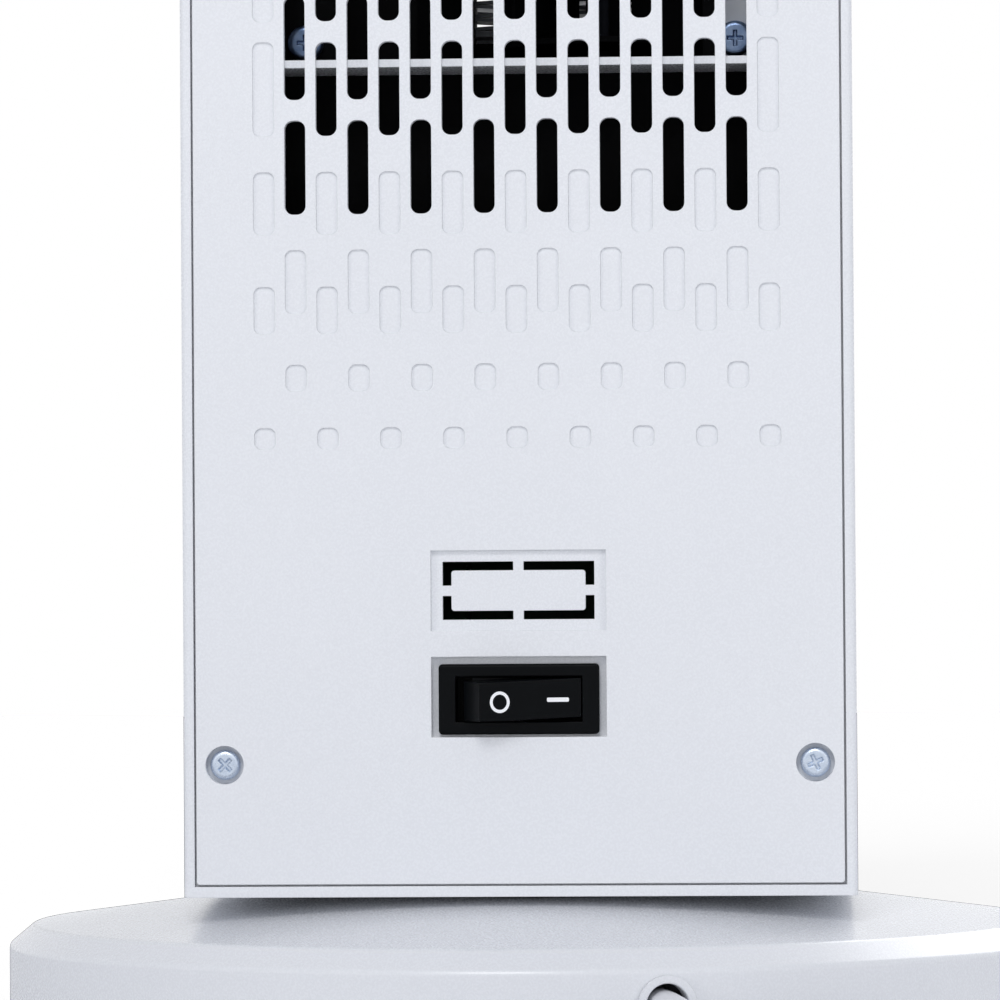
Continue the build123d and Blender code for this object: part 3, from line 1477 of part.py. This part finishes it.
def polar(radius, angle):
    """Point at a distance and an angle round the fan's axis."""
    return (fan_x + radius * cos(radians(angle)), fan_y + radius * sin(radians(angle)))


with BuildPart() as scroll_wall:
    with BuildSketch(Plane.XY.offset(deck_top)):
        with BuildLine():
            outer = scroll_radius + sheet_thickness
            ThreePointArc(polar(scroll_radius, 112), polar(scroll_radius, 150), polar(scroll_radius, scroll_end))
            Line(polar(scroll_radius, scroll_end), (-34, heater_back + side_gap))
            Line((-34, heater_back + side_gap), (-34 - sheet_thickness, heater_back + side_gap))
            Line((-34 - sheet_thickness, heater_back + side_gap), polar(outer, scroll_end))
            ThreePointArc(polar(outer, scroll_end), polar(outer, 150), polar(outer, 112))
            Line(polar(outer, 112), polar(scroll_radius, 112))
        make_face()
    extrude(amount=duct_top - deck_top)
scroll_wall.part.label = "scroll_wall"
export_step(scroll_wall.part, "parts/scroll_wall.step")

tongue_points = [(fan_x + fan_radius + 5.5, fan_y - 10), (fan_x + fan_radius + 16, fan_y), (duct_inside, fan_y + 4)]
with BuildPart() as tongue_plate:
    with BuildSketch(Plane.XY.offset(deck_top)):
        with BuildLine():
            raised = [(x, y + sheet_thickness) for x, y in reversed(tongue_points)]
            Polyline(*tongue_points, *raised, close=True)
        make_face()
    extrude(amount=duct_top - deck_top)
tongue_plate.part.label = "tongue_plate"
export_step(tongue_plate.part, "parts/tongue_plate.step")

# Heater: frame, ceramic bars in their sleeves and folded metal fins between them
heater_front = duct_fore + duct_wall + heater_margin
heater_bottom = deck_top
heater_top = duct_top
opening_bottom = deck_top + duct_tie_height + heater_border
opening_top = duct_top - duct_tie_height - heater_border
opening_half = duct_inside - heater_border
fin_width = (2 * opening_half - stone_count * stone_width) / (stone_count + 1)
with BuildPart() as heater_frame:
    block((-duct_inside, duct_inside), (heater_front, heater_back), (heater_bottom, heater_top))
    block((-opening_half, opening_half), (heater_front, heater_back), (opening_bottom, opening_top), Mode.SUBTRACT)
heater_frame.part.label = "heater_frame"
export_step(heater_frame.part, "parts/heater_frame.step")

element_y = (heater_front + heater_back) / 2
stone_xs = [-opening_half + fin_width + stone_width / 2 + k * (fin_width + stone_width) for k in range(stone_count)]
fin_xs = [-opening_half + fin_width / 2 + k * (fin_width + stone_width) for k in range(stone_count + 1)]
with BuildPart() as heater_stones:
    for x in stone_xs:
        block(
            (x - stone_width / 2, x + stone_width / 2),
            (element_y - heater_depth / 2, element_y + heater_depth / 2),
            (opening_bottom, opening_top),
        )
heater_stones.part.label = "heater_stones"
export_step(heater_stones.part, "parts/heater_stones.step")

fold_count = int((opening_top - opening_bottom - 2 * fin_thickness) / fin_pitch)
fin_height = fold_count * fin_pitch
fin_bottom = (opening_bottom + opening_top - fin_height) / 2


def fin_outline(x):
    """Corners of one folded fin: notches from the left on the way up, from the right on the way down."""
    left = x - fin_width / 2 + touch_gap
    right = x + fin_width / 2 - touch_gap
    corners = [(left, fin_bottom)]
    for k in range(fold_count):
        z = fin_bottom + (k + 0.25) * fin_pitch
        corners += [(left, z), (right - fin_thickness, z + fin_pitch / 4), (left, z + fin_pitch / 2)]
    corners += [(left, fin_bottom + fin_height), (right, fin_bottom + fin_height)]
    for k in reversed(range(1, fold_count)):
        z = fin_bottom + k * fin_pitch
        corners += [(right, z + fin_pitch / 4), (left + fin_thickness, z), (right, z - fin_pitch / 4)]
    return corners + [(right, fin_bottom)]


with BuildPart() as heater_fins:
    for x in fin_xs:
        with BuildSketch(back_plane(element_y + fin_depth / 2)):
            with BuildLine():
                Polyline(*fin_outline(x), close=True)
            make_face()
        extrude(amount=fin_depth)
heater_fins.part.label = "heater_fins"
export_step(heater_fins.part, "parts/heater_fins.step")

# Thermal cut-out on the upper plate, inside the duct
with BuildPart() as thermal_cutout:
    cutout_centre = (duct_inside / 2 + cutout_radius, heater_back + 2 * cutout_radius)
    post(cutout_centre, cutout_radius, (roof_bottom - cutout_height, roof_bottom))
    chamfer(thermal_cutout.edges().group_by(Axis.Z)[0], 1)
thermal_cutout.part.label = "thermal_cutout"
export_step(thermal_cutout.part, "parts/thermal_cutout.step")
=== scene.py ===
import bpy
import bmesh
import math
from mathutils import Matrix, Vector


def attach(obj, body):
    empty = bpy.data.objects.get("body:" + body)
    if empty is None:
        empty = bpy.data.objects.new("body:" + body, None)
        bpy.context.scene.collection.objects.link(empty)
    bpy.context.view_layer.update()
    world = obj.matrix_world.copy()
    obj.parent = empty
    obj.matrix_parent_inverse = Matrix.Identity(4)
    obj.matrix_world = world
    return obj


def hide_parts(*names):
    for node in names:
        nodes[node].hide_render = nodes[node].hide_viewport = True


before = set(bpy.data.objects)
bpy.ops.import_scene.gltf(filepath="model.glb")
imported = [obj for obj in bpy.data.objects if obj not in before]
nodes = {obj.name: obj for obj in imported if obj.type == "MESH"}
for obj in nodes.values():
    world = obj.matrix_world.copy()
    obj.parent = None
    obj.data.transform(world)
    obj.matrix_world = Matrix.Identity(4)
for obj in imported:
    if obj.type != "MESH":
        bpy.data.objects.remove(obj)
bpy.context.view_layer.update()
mm = 0.001


def linearColour(hexText):
    # sRGB hex to linear, with alpha 1
    values = [int(hexText[i:i + 2], 16) / 255 for i in (1, 3, 5)]
    return [v / 12.92 if v <= 0.04045 else ((v + 0.055) / 1.055) ** 2.4 for v in values] + [1.0]


def addNode(tree, kind, settings=None, links=None):
    # settings go on sockets, or on the node where a key starts with a dot
    node = tree.nodes.new(kind)
    for key, value in (settings or {}).items():
        if isinstance(key, str) and key.startswith("."):
            setattr(node, key[1:], value)
        else:
            node.inputs[key].default_value = value
    for key, source in (links or {}).items():
        tree.links.new(source, node.inputs[key])
    return node


def newMaterial(name, slotSettings):
    material = bpy.data.materials.new(name)
    material.use_nodes = True
    tree = material.node_tree
    tree.nodes.clear()
    shader = addNode(tree, "ShaderNodeBsdfPrincipled", slotSettings)
    addNode(tree, "ShaderNodeOutputMaterial", links={"Surface": shader.outputs[0]})
    place = addNode(tree, "ShaderNodeTexCoord").outputs["Object"]
    return material, tree, shader, place


def twoTones(tree, factor, darker, lighter):
    ramp = addNode(tree, "ShaderNodeValToRGB", links={"Fac": factor})
    ramp.color_ramp.elements[0].color = linearColour(darker)
    ramp.color_ramp.elements[1].color = linearColour(lighter)
    return ramp.outputs["Color"]


relief = {"grainMm": 0.05, "scratchMm": 0.03, "scratchStrength": 0.12}


def mouldedPlastic(finish):
    # injection-moulded skin: spark-eroded grain, faint cloudiness and softly rounded arrises
    material, tree, shader, place = newMaterial(
        finish["name"], {"Roughness": finish["roughness"], "IOR": finish.get("ior", 1.53),
                         "Specular IOR Level": finish.get("specular", 0.5)})
    cloud = addNode(tree, "ShaderNodeTexNoise", {"Scale": 1 / (finish["cloudMm"] * mm), "Detail": 3.0},
                    {"Vector": place})
    colour = twoTones(tree, cloud.outputs["Fac"], finish["darker"], finish["lighter"])
    tree.links.new(colour, shader.inputs["Base Color"])
    grain = addNode(tree, "ShaderNodeTexNoise", {"Scale": 1 / (finish["grainMm"] * mm), "Detail": 4.0},
                    {"Vector": place})
    rounded = addNode(tree, "ShaderNodeBevel", {".samples": 6, "Radius": finish["arrisMm"] * mm})
    bump = addNode(tree, "ShaderNodeBump",
                   {"Strength": finish["grainStrength"], "Distance": relief["grainMm"] * mm},
                   {"Height": grain.outputs["Fac"], "Normal": rounded.outputs["Normal"]})
    tree.links.new(bump.outputs["Normal"], shader.inputs["Normal"])
    spread = addNode(tree, "ShaderNodeMapRange", {
        "To Min": finish["roughness"] * 0.9, "To Max": min(1.0, finish["roughness"] * 1.12)},
        {"Value": grain.outputs["Fac"]})
    tree.links.new(spread.outputs["Result"], shader.inputs["Roughness"])
    return material


def workedMetal(finish):
    # drawn or turned metal: fine stretched scratches and slight mottling of the plating
    material, tree, shader, place = newMaterial(
        finish["name"], {"Metallic": 1.0, "Roughness": finish["roughness"]})
    mottle = addNode(tree, "ShaderNodeTexNoise", {"Scale": 1 / (finish["mottleMm"] * mm), "Detail": 3.0},
                     {"Vector": place})
    colour = twoTones(tree, mottle.outputs["Fac"], finish["darker"], finish["lighter"])
    tree.links.new(colour, shader.inputs["Base Color"])
    stretch = addNode(tree, "ShaderNodeMapping", {"Scale": finish["drawn"]}, {"Vector": place})
    scratches = addNode(tree, "ShaderNodeTexNoise", {"Scale": 1 / (finish["scratchMm"] * mm), "Detail": 5.0},
                        {"Vector": stretch.outputs["Vector"]})
    spread = addNode(tree, "ShaderNodeMapRange", {
        "To Min": finish["roughness"] * 0.75, "To Max": finish["roughness"] * 1.3},
        {"Value": scratches.outputs["Fac"]})
    tree.links.new(spread.outputs["Result"], shader.inputs["Roughness"])
    rounded = addNode(tree, "ShaderNodeBevel", {".samples": 4, "Radius": finish["arrisMm"] * mm})
    bump = addNode(tree, "ShaderNodeBump",
                   {"Strength": relief["scratchStrength"], "Distance": relief["scratchMm"] * mm},
                   {"Height": scratches.outputs["Fac"], "Normal": rounded.outputs["Normal"]})
    tree.links.new(bump.outputs["Normal"], shader.inputs["Normal"])
    return material


# Camera at the photograph's place: behind the heater, low, a little to its right
view = {"place": (-50.0, 1160.0, 88.0), "aim": (3.4, 60.0, 106.15), "roll": -0.37,
        "focus": 5711.0, "frame": 1000.0, "sensor": 36.0, "nearest": 0.01}


def placeCamera():
    data = bpy.data.cameras.new("photographCamera")
    data.sensor_width = view["sensor"]
    data.lens = view["sensor"] * view["focus"] / view["frame"]
    data.clip_start = view["nearest"]
    camera = bpy.data.objects.new("photographCamera", data)
    bpy.context.collection.objects.link(camera)
    start = Vector(view["place"]) * mm
    sight = Vector(view["aim"]) * mm - start
    turn = sight.to_track_quat("-Z", "Y").to_matrix() @ Matrix.Rotation(math.radians(view["roll"]), 3, "Z")
    camera.matrix_world = Matrix.Translation(start) @ turn.to_4x4()
    bpy.context.scene.camera = camera


placeCamera()
print("camera placed")

# Lead: one NURBS line through the points of the route, in millimetres
lead = {
    "diameter": 7.0,
    "start": [(-24.08, 84.64, 11.3), (-32.28, 113.50, 11.3), (-38.5, 142.5, 4.4), (-43.5, 168.0, 4.0),
              (-43.5, 193.0, 4.0)],
    "coilLeft": -43.5, "coilY": 200.0, "outer": 49.4, "pitch": 7.5, "lower": 5, "upper": 4,
    "floorLine": 4.0, "steps": 12,
    "tail": [(-36.0, 207.0, 11.5), (-36.0, 227.0, 11.5), (-46.5, 245.2, 10.5), (-66.5, 256.2, 6.0),
             (-90.5, 257.5, 4.0), (-113.0, 246.5, 7.0), (-126.4, 227.0, 12.0), (-126.4, 203.0, 12.0)],
    "exit": (-29.0, 101.96, 11.3), "length": 1.54,
}


def coilPoints():
    # half turns, clockwise from above, each drawn by the corners of the polygon round it
    points = []
    x = lead["coilLeft"]
    radius = lead["outer"]
    fromLeft = True
    half = math.pi / lead["steps"] / 2
    count = lead["lower"] + 1 + lead["upper"]
    for turn in range(count):
        climbing = turn == lead["lower"]
        if turn > lead["lower"]:
            radius += lead["pitch"] / 2
        centre = x + radius if fromLeft else x - radius
        first = math.pi if fromLeft else 0.0
        for step in range(lead["steps"]):
            angle = first - (2 * step + 1) * half
            reach = radius / math.cos(half)
            share = (step + 0.5) / lead["steps"]
            z = lead["floorLine"] + (lead["pitch"] if turn > lead["lower"] else 0.0)
            if climbing:
                z += lead["pitch"] * (1 - math.cos(math.pi * share)) / 2
            points.append((centre + reach * math.cos(angle), lead["coilY"] + reach * math.sin(angle), z))
        x += 2 * radius if fromLeft else -2 * radius
        fromLeft = not fromLeft
        if turn < lead["lower"]:
            radius -= lead["pitch"] / 2
    return points


def smoothLine(name, points, diameter):
    data = bpy.data.curves.new(name, "CURVE")
    data.dimensions = "3D"
    data.resolution_u = 6
    spline = data.splines.new("NURBS")
    spline.points.add(len(points) - 1)
    for point, place in zip(spline.points, points):
        point.co = [value * mm for value in place] + [1.0]
        point.radius = mm  # scales the bevel, which is in millimetres here
    spline.order_u = 3
    spline.use_endpoint_u = True
    data.bevel_depth = diameter / 2
    data.bevel_resolution = 6
    data.use_fill_caps = True
    piece = bpy.data.objects.new(name, data)
    bpy.context.collection.objects.link(piece)
    return piece


mainsCord = smoothLine("mainsCord", lead["start"] + coilPoints() + lead["tail"], lead["diameter"])
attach(mainsCord, "base")
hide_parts("mains_lead", "cord_coil", "cord_tail")
print("lead laid")

# Finishes, each named for what the real one is, and for painted shade where a colour holds it
whiteAbs = mouldedPlastic({
    "name": "whiteMouldedAbs", "darker": "#e9ebef", "lighter": "#eef0f4", "roughness": 0.27,
    "cloudMm": 60.0, "grainMm": 0.45, "grainStrength": 0.02, "arrisMm": 0.25})
whiteAbsInside = mouldedPlastic({
    "name": "whiteAbsShelf", "darker": "#e2e5ec", "lighter": "#e8ebf1", "roughness": 0.5,
    "cloudMm": 30.0, "grainMm": 0.5, "grainStrength": 0.12, "arrisMm": 0.2})
blackNylon = mouldedPlastic({
    "name": "blackGlassNylon", "darker": "#040406", "lighter": "#08090b", "roughness": 0.7, "specular": 0.08,
    "cloudMm": 25.0, "grainMm": 0.5, "grainStrength": 0.2, "arrisMm": 0.3})
blackSwitch = mouldedPlastic({
    "name": "blackPolishedNylon", "darker": "#06080a", "lighter": "#090b0e", "roughness": 0.3,
    "specular": 0.07, "cloudMm": 12.0, "grainMm": 0.3, "grainStrength": 0.04, "arrisMm": 0.3})
leadPvc = mouldedPlastic({
    "name": "whiteSoftPvc", "darker": "#e3e4e9", "lighter": "#eaebef", "roughness": 0.48,
    "cloudMm": 18.0, "grainMm": 0.6, "grainStrength": 0.18, "arrisMm": 0.3, "ior": 1.52})
blackRubber = mouldedPlastic({
    "name": "blackNitrileRubber", "darker": "#151516", "lighter": "#1d1d1f", "roughness": 0.8,
    "cloudMm": 8.0, "grainMm": 0.4, "grainStrength": 0.35, "arrisMm": 0.4, "ior": 1.52})
ceramicGrey = mouldedPlastic({
    "name": "firedBariumCeramic", "darker": "#35322f", "lighter": "#4a4642", "roughness": 0.75,
    "cloudMm": 5.0, "grainMm": 0.3, "grainStrength": 0.4, "arrisMm": 0.1, "ior": 1.7})
boardGreen = mouldedPlastic({
    "name": "solderMaskLaminate", "darker": "#0d4a2a", "lighter": "#125a35", "roughness": 0.4,
    "cloudMm": 6.0, "grainMm": 0.8, "grainStrength": 0.15, "arrisMm": 0.1})
bracketGrey = mouldedPlastic({
    "name": "greyPowderCoat", "darker": "#d8dce4", "lighter": "#e4e8ee", "roughness": 0.45,
    "cloudMm": 14.0, "grainMm": 0.5, "grainStrength": 0.3, "arrisMm": 0.15})
zincSteel = workedMetal({
    "name": "blueZincPlatedSteel", "darker": "#bccadf", "lighter": "#e3ecf8", "roughness": 0.26,
    "mottleMm": 2.0, "drawn": (1, 1, 6), "scratchMm": 0.5, "arrisMm": 0.25})
# duct screws: blue zinc plating, darkened as painted shade for their place in the shade inside the tower
zincSteelPaintedShade = workedMetal({
    "name": "blueZincPaintedShade", "darker": "#4f6c9c", "lighter": "#a9bcd8", "roughness": 0.34,
    "mottleMm": 2.0, "drawn": (1, 1, 6), "scratchMm": 0.5, "arrisMm": 0.25})
blackSteel = workedMetal({
    "name": "blackOxidedSteel", "darker": "#141519", "lighter": "#212329", "roughness": 0.42,
    "mottleMm": 4.0, "drawn": (1, 1, 8), "scratchMm": 0.5, "arrisMm": 0.2})
sheetSteel = workedMetal({
    "name": "coldRolledSteel", "darker": "#8f959c", "lighter": "#a9afb6", "roughness": 0.4,
    "mottleMm": 9.0, "drawn": (1, 8, 1), "scratchMm": 0.6, "arrisMm": 0.3})
# heater fins: aluminium foil whose dark colour is painted shade for the fins deep inside the tower
finAluminiumPaintedShade = workedMetal({
    "name": "aluminiumFoilPaintedShade", "darker": "#3b3d42", "lighter": "#6a6d72", "roughness": 0.3,
    "mottleMm": 3.0, "drawn": (1, 8, 1), "scratchMm": 0.4, "arrisMm": 0.05})
nickelBrass = workedMetal({
    "name": "nickelPlatedBrass", "darker": "#cdc9bd", "lighter": "#e2dfd4", "roughness": 0.22,
    "mottleMm": 4.0, "drawn": (1, 6, 1), "scratchMm": 0.4, "arrisMm": 0.15})


def smokedAcrylic():
    # tinted cast acrylic: dark, very smooth, with a faint sheen of dust
    material, tree, shader, place = newMaterial("smokedAcrylic", {"Roughness": 0.08, "IOR": 1.49})
    dust = addNode(tree, "ShaderNodeTexNoise", {"Scale": 1 / (7 * mm), "Detail": 6.0}, {"Vector": place})
    colour = twoTones(tree, dust.outputs["Fac"], "#08090c", "#12141a")
    tree.links.new(colour, shader.inputs["Base Color"])
    return material


def printedInk():
    # pad-printed white ink, a little uneven where the pad lifted
    material, tree, shader, place = newMaterial("padPrintedInk", {"Roughness": 0.5, "IOR": 1.5})
    film = addNode(tree, "ShaderNodeTexNoise", {"Scale": 1 / (0.5 * mm), "Detail": 3.0}, {"Vector": place})
    colour = twoTones(tree, film.outputs["Fac"], "#fafbff", "#ffffff")
    tree.links.new(colour, shader.inputs["Base Color"])
    return material


acrylic = smokedAcrylic()
inkWhite = printedInk()

nodeFinish = {
    "whiteOutside": (whiteAbs, ["base_shell", "housing_shell", "rear_cover", "front_grille", "top_cover",
                                "base_plate", "swivel_hub", "cord_clamp", "cord_bushing", "bearing_bush",
                                "power_button", "mode_button", "timer_button", "swing_button",
                                "terminal_block"]),
    "whiteInside": (whiteAbsInside, ["fan_top_plate"]),
    # the fan deck takes this black as painted shade under the white shelf
    "blackInside": (blackNylon, ["fan_deck", "fan_duct", "motor_shroud", "fan_wheel", "slip_ring",
                                 "oscillation_crank", "heater_frame", "tilt_switch",
                                 "scroll_wall", "tongue_plate"]),
    "switch": (blackSwitch, ["switch_housing", "switch_rocker"]),
    "lead": (leadPvc, ["inner_lead", "plug"]),
    "strap": (blackNylon, ["cord_tie"]),
    "rubber": (blackRubber, ["rubber_feet"]),
    "screws": (zincSteel, ["base_screws", "oscillation_motor_screws", "hub_screws", "swivel_screws",
                           "cord_clamp_screws", "rear_cover_screws", "deck_screws", "fan_motor_screws"]),
    "blueScrews": (zincSteelPaintedShade, ["duct_screws"]),
    "steel": (sheetSteel, ["ballast_plates", "swivel_plate", "oscillation_motor", "motor_rotor",
                           "fan_motor"]),
    "shaft": (blackSteel, ["fan_shaft"]),
    "bracket": (bracketGrey, ["side_bracket"]),
    "contacts": (nickelBrass, ["plug_pins", "switch_terminals", "thermal_cutout"]),
    "fins": (finAluminiumPaintedShade, ["heater_fins"]),
    "stones": (ceramicGrey, ["heater_stones"]),
    "window": (acrylic, ["display_window"]),
    "boards": (boardGreen, ["control_board", "power_board"]),
}


def dressNodes():
    for material, names in nodeFinish.values():
        for name in names:
            node = nodes[name]
            if not node.material_slots:
                node.data.materials.append(material)
            for slot in node.material_slots:
                slot.material = material


dressNodes()
mainsCord.data.materials.append(leadPvc)
print("finishes on the frame")


def deselectAll():
    bpy.ops.object.select_all(action="DESELECT")


def settle(piece, matrix):
    # puts a piece's place into its mesh, so that its object stays at the origin
    piece.data.transform(matrix @ piece.matrix_world)
    piece.matrix_world = Matrix.Identity(4)


# Marks on the rocker's face, in the rocker's own tilted frame
marks = {"pivot": (0.0, 54.9967, 67.75), "tilt": 16.0, "face": 8.5, "thickness": 0.06,
         "ring": {"x": 6.05, "z": -0.5, "radius": 1.95, "line": 0.56, "tall": 1.06, "sides": 56},
         "dash": {"x": -5.45, "z": -0.12, "long": 4.35, "high": 0.82}}


def rockerPlace(x, z):
    turn = Matrix.Rotation(math.radians(marks["tilt"]), 4, "Z")
    onFace = Matrix.Translation(Vector((x, marks["face"], z)) * mm)
    upright = Matrix.Rotation(math.radians(-90), 4, "X")
    return Matrix.Translation(Vector(marks["pivot"]) * mm) @ turn @ onFace @ upright


def makeRingMark():
    ring = marks["ring"]
    deselectAll()
    bpy.ops.mesh.primitive_circle_add(vertices=ring["sides"], radius=ring["radius"] * mm, fill_type="NOTHING")
    piece = bpy.context.object
    piece.name = "offMark"
    bpy.ops.object.mode_set(mode="EDIT")
    bpy.ops.mesh.select_all(action="SELECT")
    share = 1 - ring["line"] / ring["radius"]
    bpy.ops.mesh.extrude_edges_move()
    bpy.ops.transform.resize(value=(share, share, 1))
    bpy.ops.mesh.select_all(action="SELECT")
    bpy.ops.mesh.extrude_region_move(TRANSFORM_OT_translate={"value": (0, 0, marks["thickness"] * mm)})
    bpy.ops.mesh.select_all(action="SELECT")
    bpy.ops.transform.resize(value=(1, ring["tall"], 1))
    bpy.ops.mesh.normals_make_consistent(inside=False)
    bpy.ops.object.mode_set(mode="OBJECT")
    settle(piece, rockerPlace(ring["x"], ring["z"]))
    return piece


def makeDashMark():
    dash = marks["dash"]
    deselectAll()
    bpy.ops.mesh.primitive_plane_add(size=1)
    piece = bpy.context.object
    piece.name = "onMark"
    bpy.ops.object.mode_set(mode="EDIT")
    bpy.ops.mesh.select_all(action="SELECT")
    bpy.ops.transform.resize(value=(dash["long"] * mm, dash["high"] * mm, 1))
    bpy.ops.mesh.bevel(offset=dash["high"] * 0.3 * mm, segments=3, affect="VERTICES")
    bpy.ops.mesh.select_all(action="SELECT")
    bpy.ops.mesh.extrude_region_move(TRANSFORM_OT_translate={"value": (0, 0, marks["thickness"] * mm)})
    bpy.ops.mesh.select_all(action="SELECT")
    bpy.ops.mesh.normals_make_consistent(inside=False)
    bpy.ops.object.mode_set(mode="OBJECT")
    settle(piece, rockerPlace(dash["x"], dash["z"]))
    return piece


for mark in (makeRingMark(), makeDashMark()):
    mark.data.materials.append(inkWhite)
    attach(mark, "rocker")
print("switch marks printed")

# Studio: white surroundings, a key above the camera, a fill each side of it, and a lamp for the front
studio = {"skyLight": 0.41, "skyColour": "#f0f4ff", "floorSize": 6.0, "floorColour": "#f2f2f2",
          "lampAim": (0, 0, 0.2),
          "key": {"place": (0.15, 1.35, 1.2), "size": 0.5, "power": 8.0, "gloss": True},
          "leftFill": {"place": (1.5, 1.35, 0.3), "size": 0.7, "power": 6.3, "gloss": False},
          "rightFill": {"place": (-1.5, 1.35, 0.3), "size": 0.7, "power": 6.3, "gloss": False},
          "frontKey": {"place": (-0.9, -1.5, 1.3), "size": 1.2, "power": 15.0, "gloss": True}}


def makeStudio():
    scene = bpy.context.scene
    scene.view_settings.view_transform = "Standard"
    world = bpy.data.worlds.new("whiteSurroundings")
    scene.world = world
    world.use_nodes = True
    tree = world.node_tree
    tree.nodes.clear()
    rays = addNode(tree, "ShaderNodeLightPath")
    seen = addNode(tree, "ShaderNodeMath", {".operation": "MAXIMUM"},
                   {0: rays.outputs["Is Camera Ray"], 1: rays.outputs["Is Transmission Ray"]})
    seenToo = addNode(tree, "ShaderNodeMath", {".operation": "MAXIMUM"},
                      {0: seen.outputs[0], 1: rays.outputs["Is Glossy Ray"]})
    lightSky = addNode(tree, "ShaderNodeBackground",
                       {"Color": linearColour(studio["skyColour"]), "Strength": studio["skyLight"]})
    whiteSky = addNode(tree, "ShaderNodeBackground", {"Color": (1, 1, 1, 1), "Strength": 1.0})
    mixed = addNode(tree, "ShaderNodeMixShader", links={
        0: seenToo.outputs[0], 1: lightSky.outputs[0], 2: whiteSky.outputs[0]})
    addNode(tree, "ShaderNodeOutputWorld", links={"Surface": mixed.outputs[0]})
    for name in ("key", "leftFill", "rightFill", "frontKey"):
        lamp = studio[name]
        data = bpy.data.lights.new(name, "AREA")
        data.size = lamp["size"]
        data.energy = lamp["power"]
        light = bpy.data.objects.new(name, data)
        light.visible_glossy = lamp["gloss"]  # a flat back panel would mirror a lamp behind the camera
        bpy.context.collection.objects.link(light)
        start = Vector(lamp["place"])
        aim = Vector(studio["lampAim"]) - start
        light.matrix_world = Matrix.Translation(start) @ aim.to_track_quat("-Z", "Y").to_matrix().to_4x4()
    deselectAll()
    bpy.ops.mesh.primitive_plane_add(size=studio["floorSize"])
    floor = bpy.context.object
    floor.name = "studioFloor"
    material, floorTree, shader, place = newMaterial("paleStudioFloor", {"Roughness": 0.9})
    shader.inputs["Base Color"].default_value = linearColour(studio["floorColour"])
    floor.data.materials.append(material)
    floor.is_shadow_catcher = True


makeStudio()
print("studio lit")
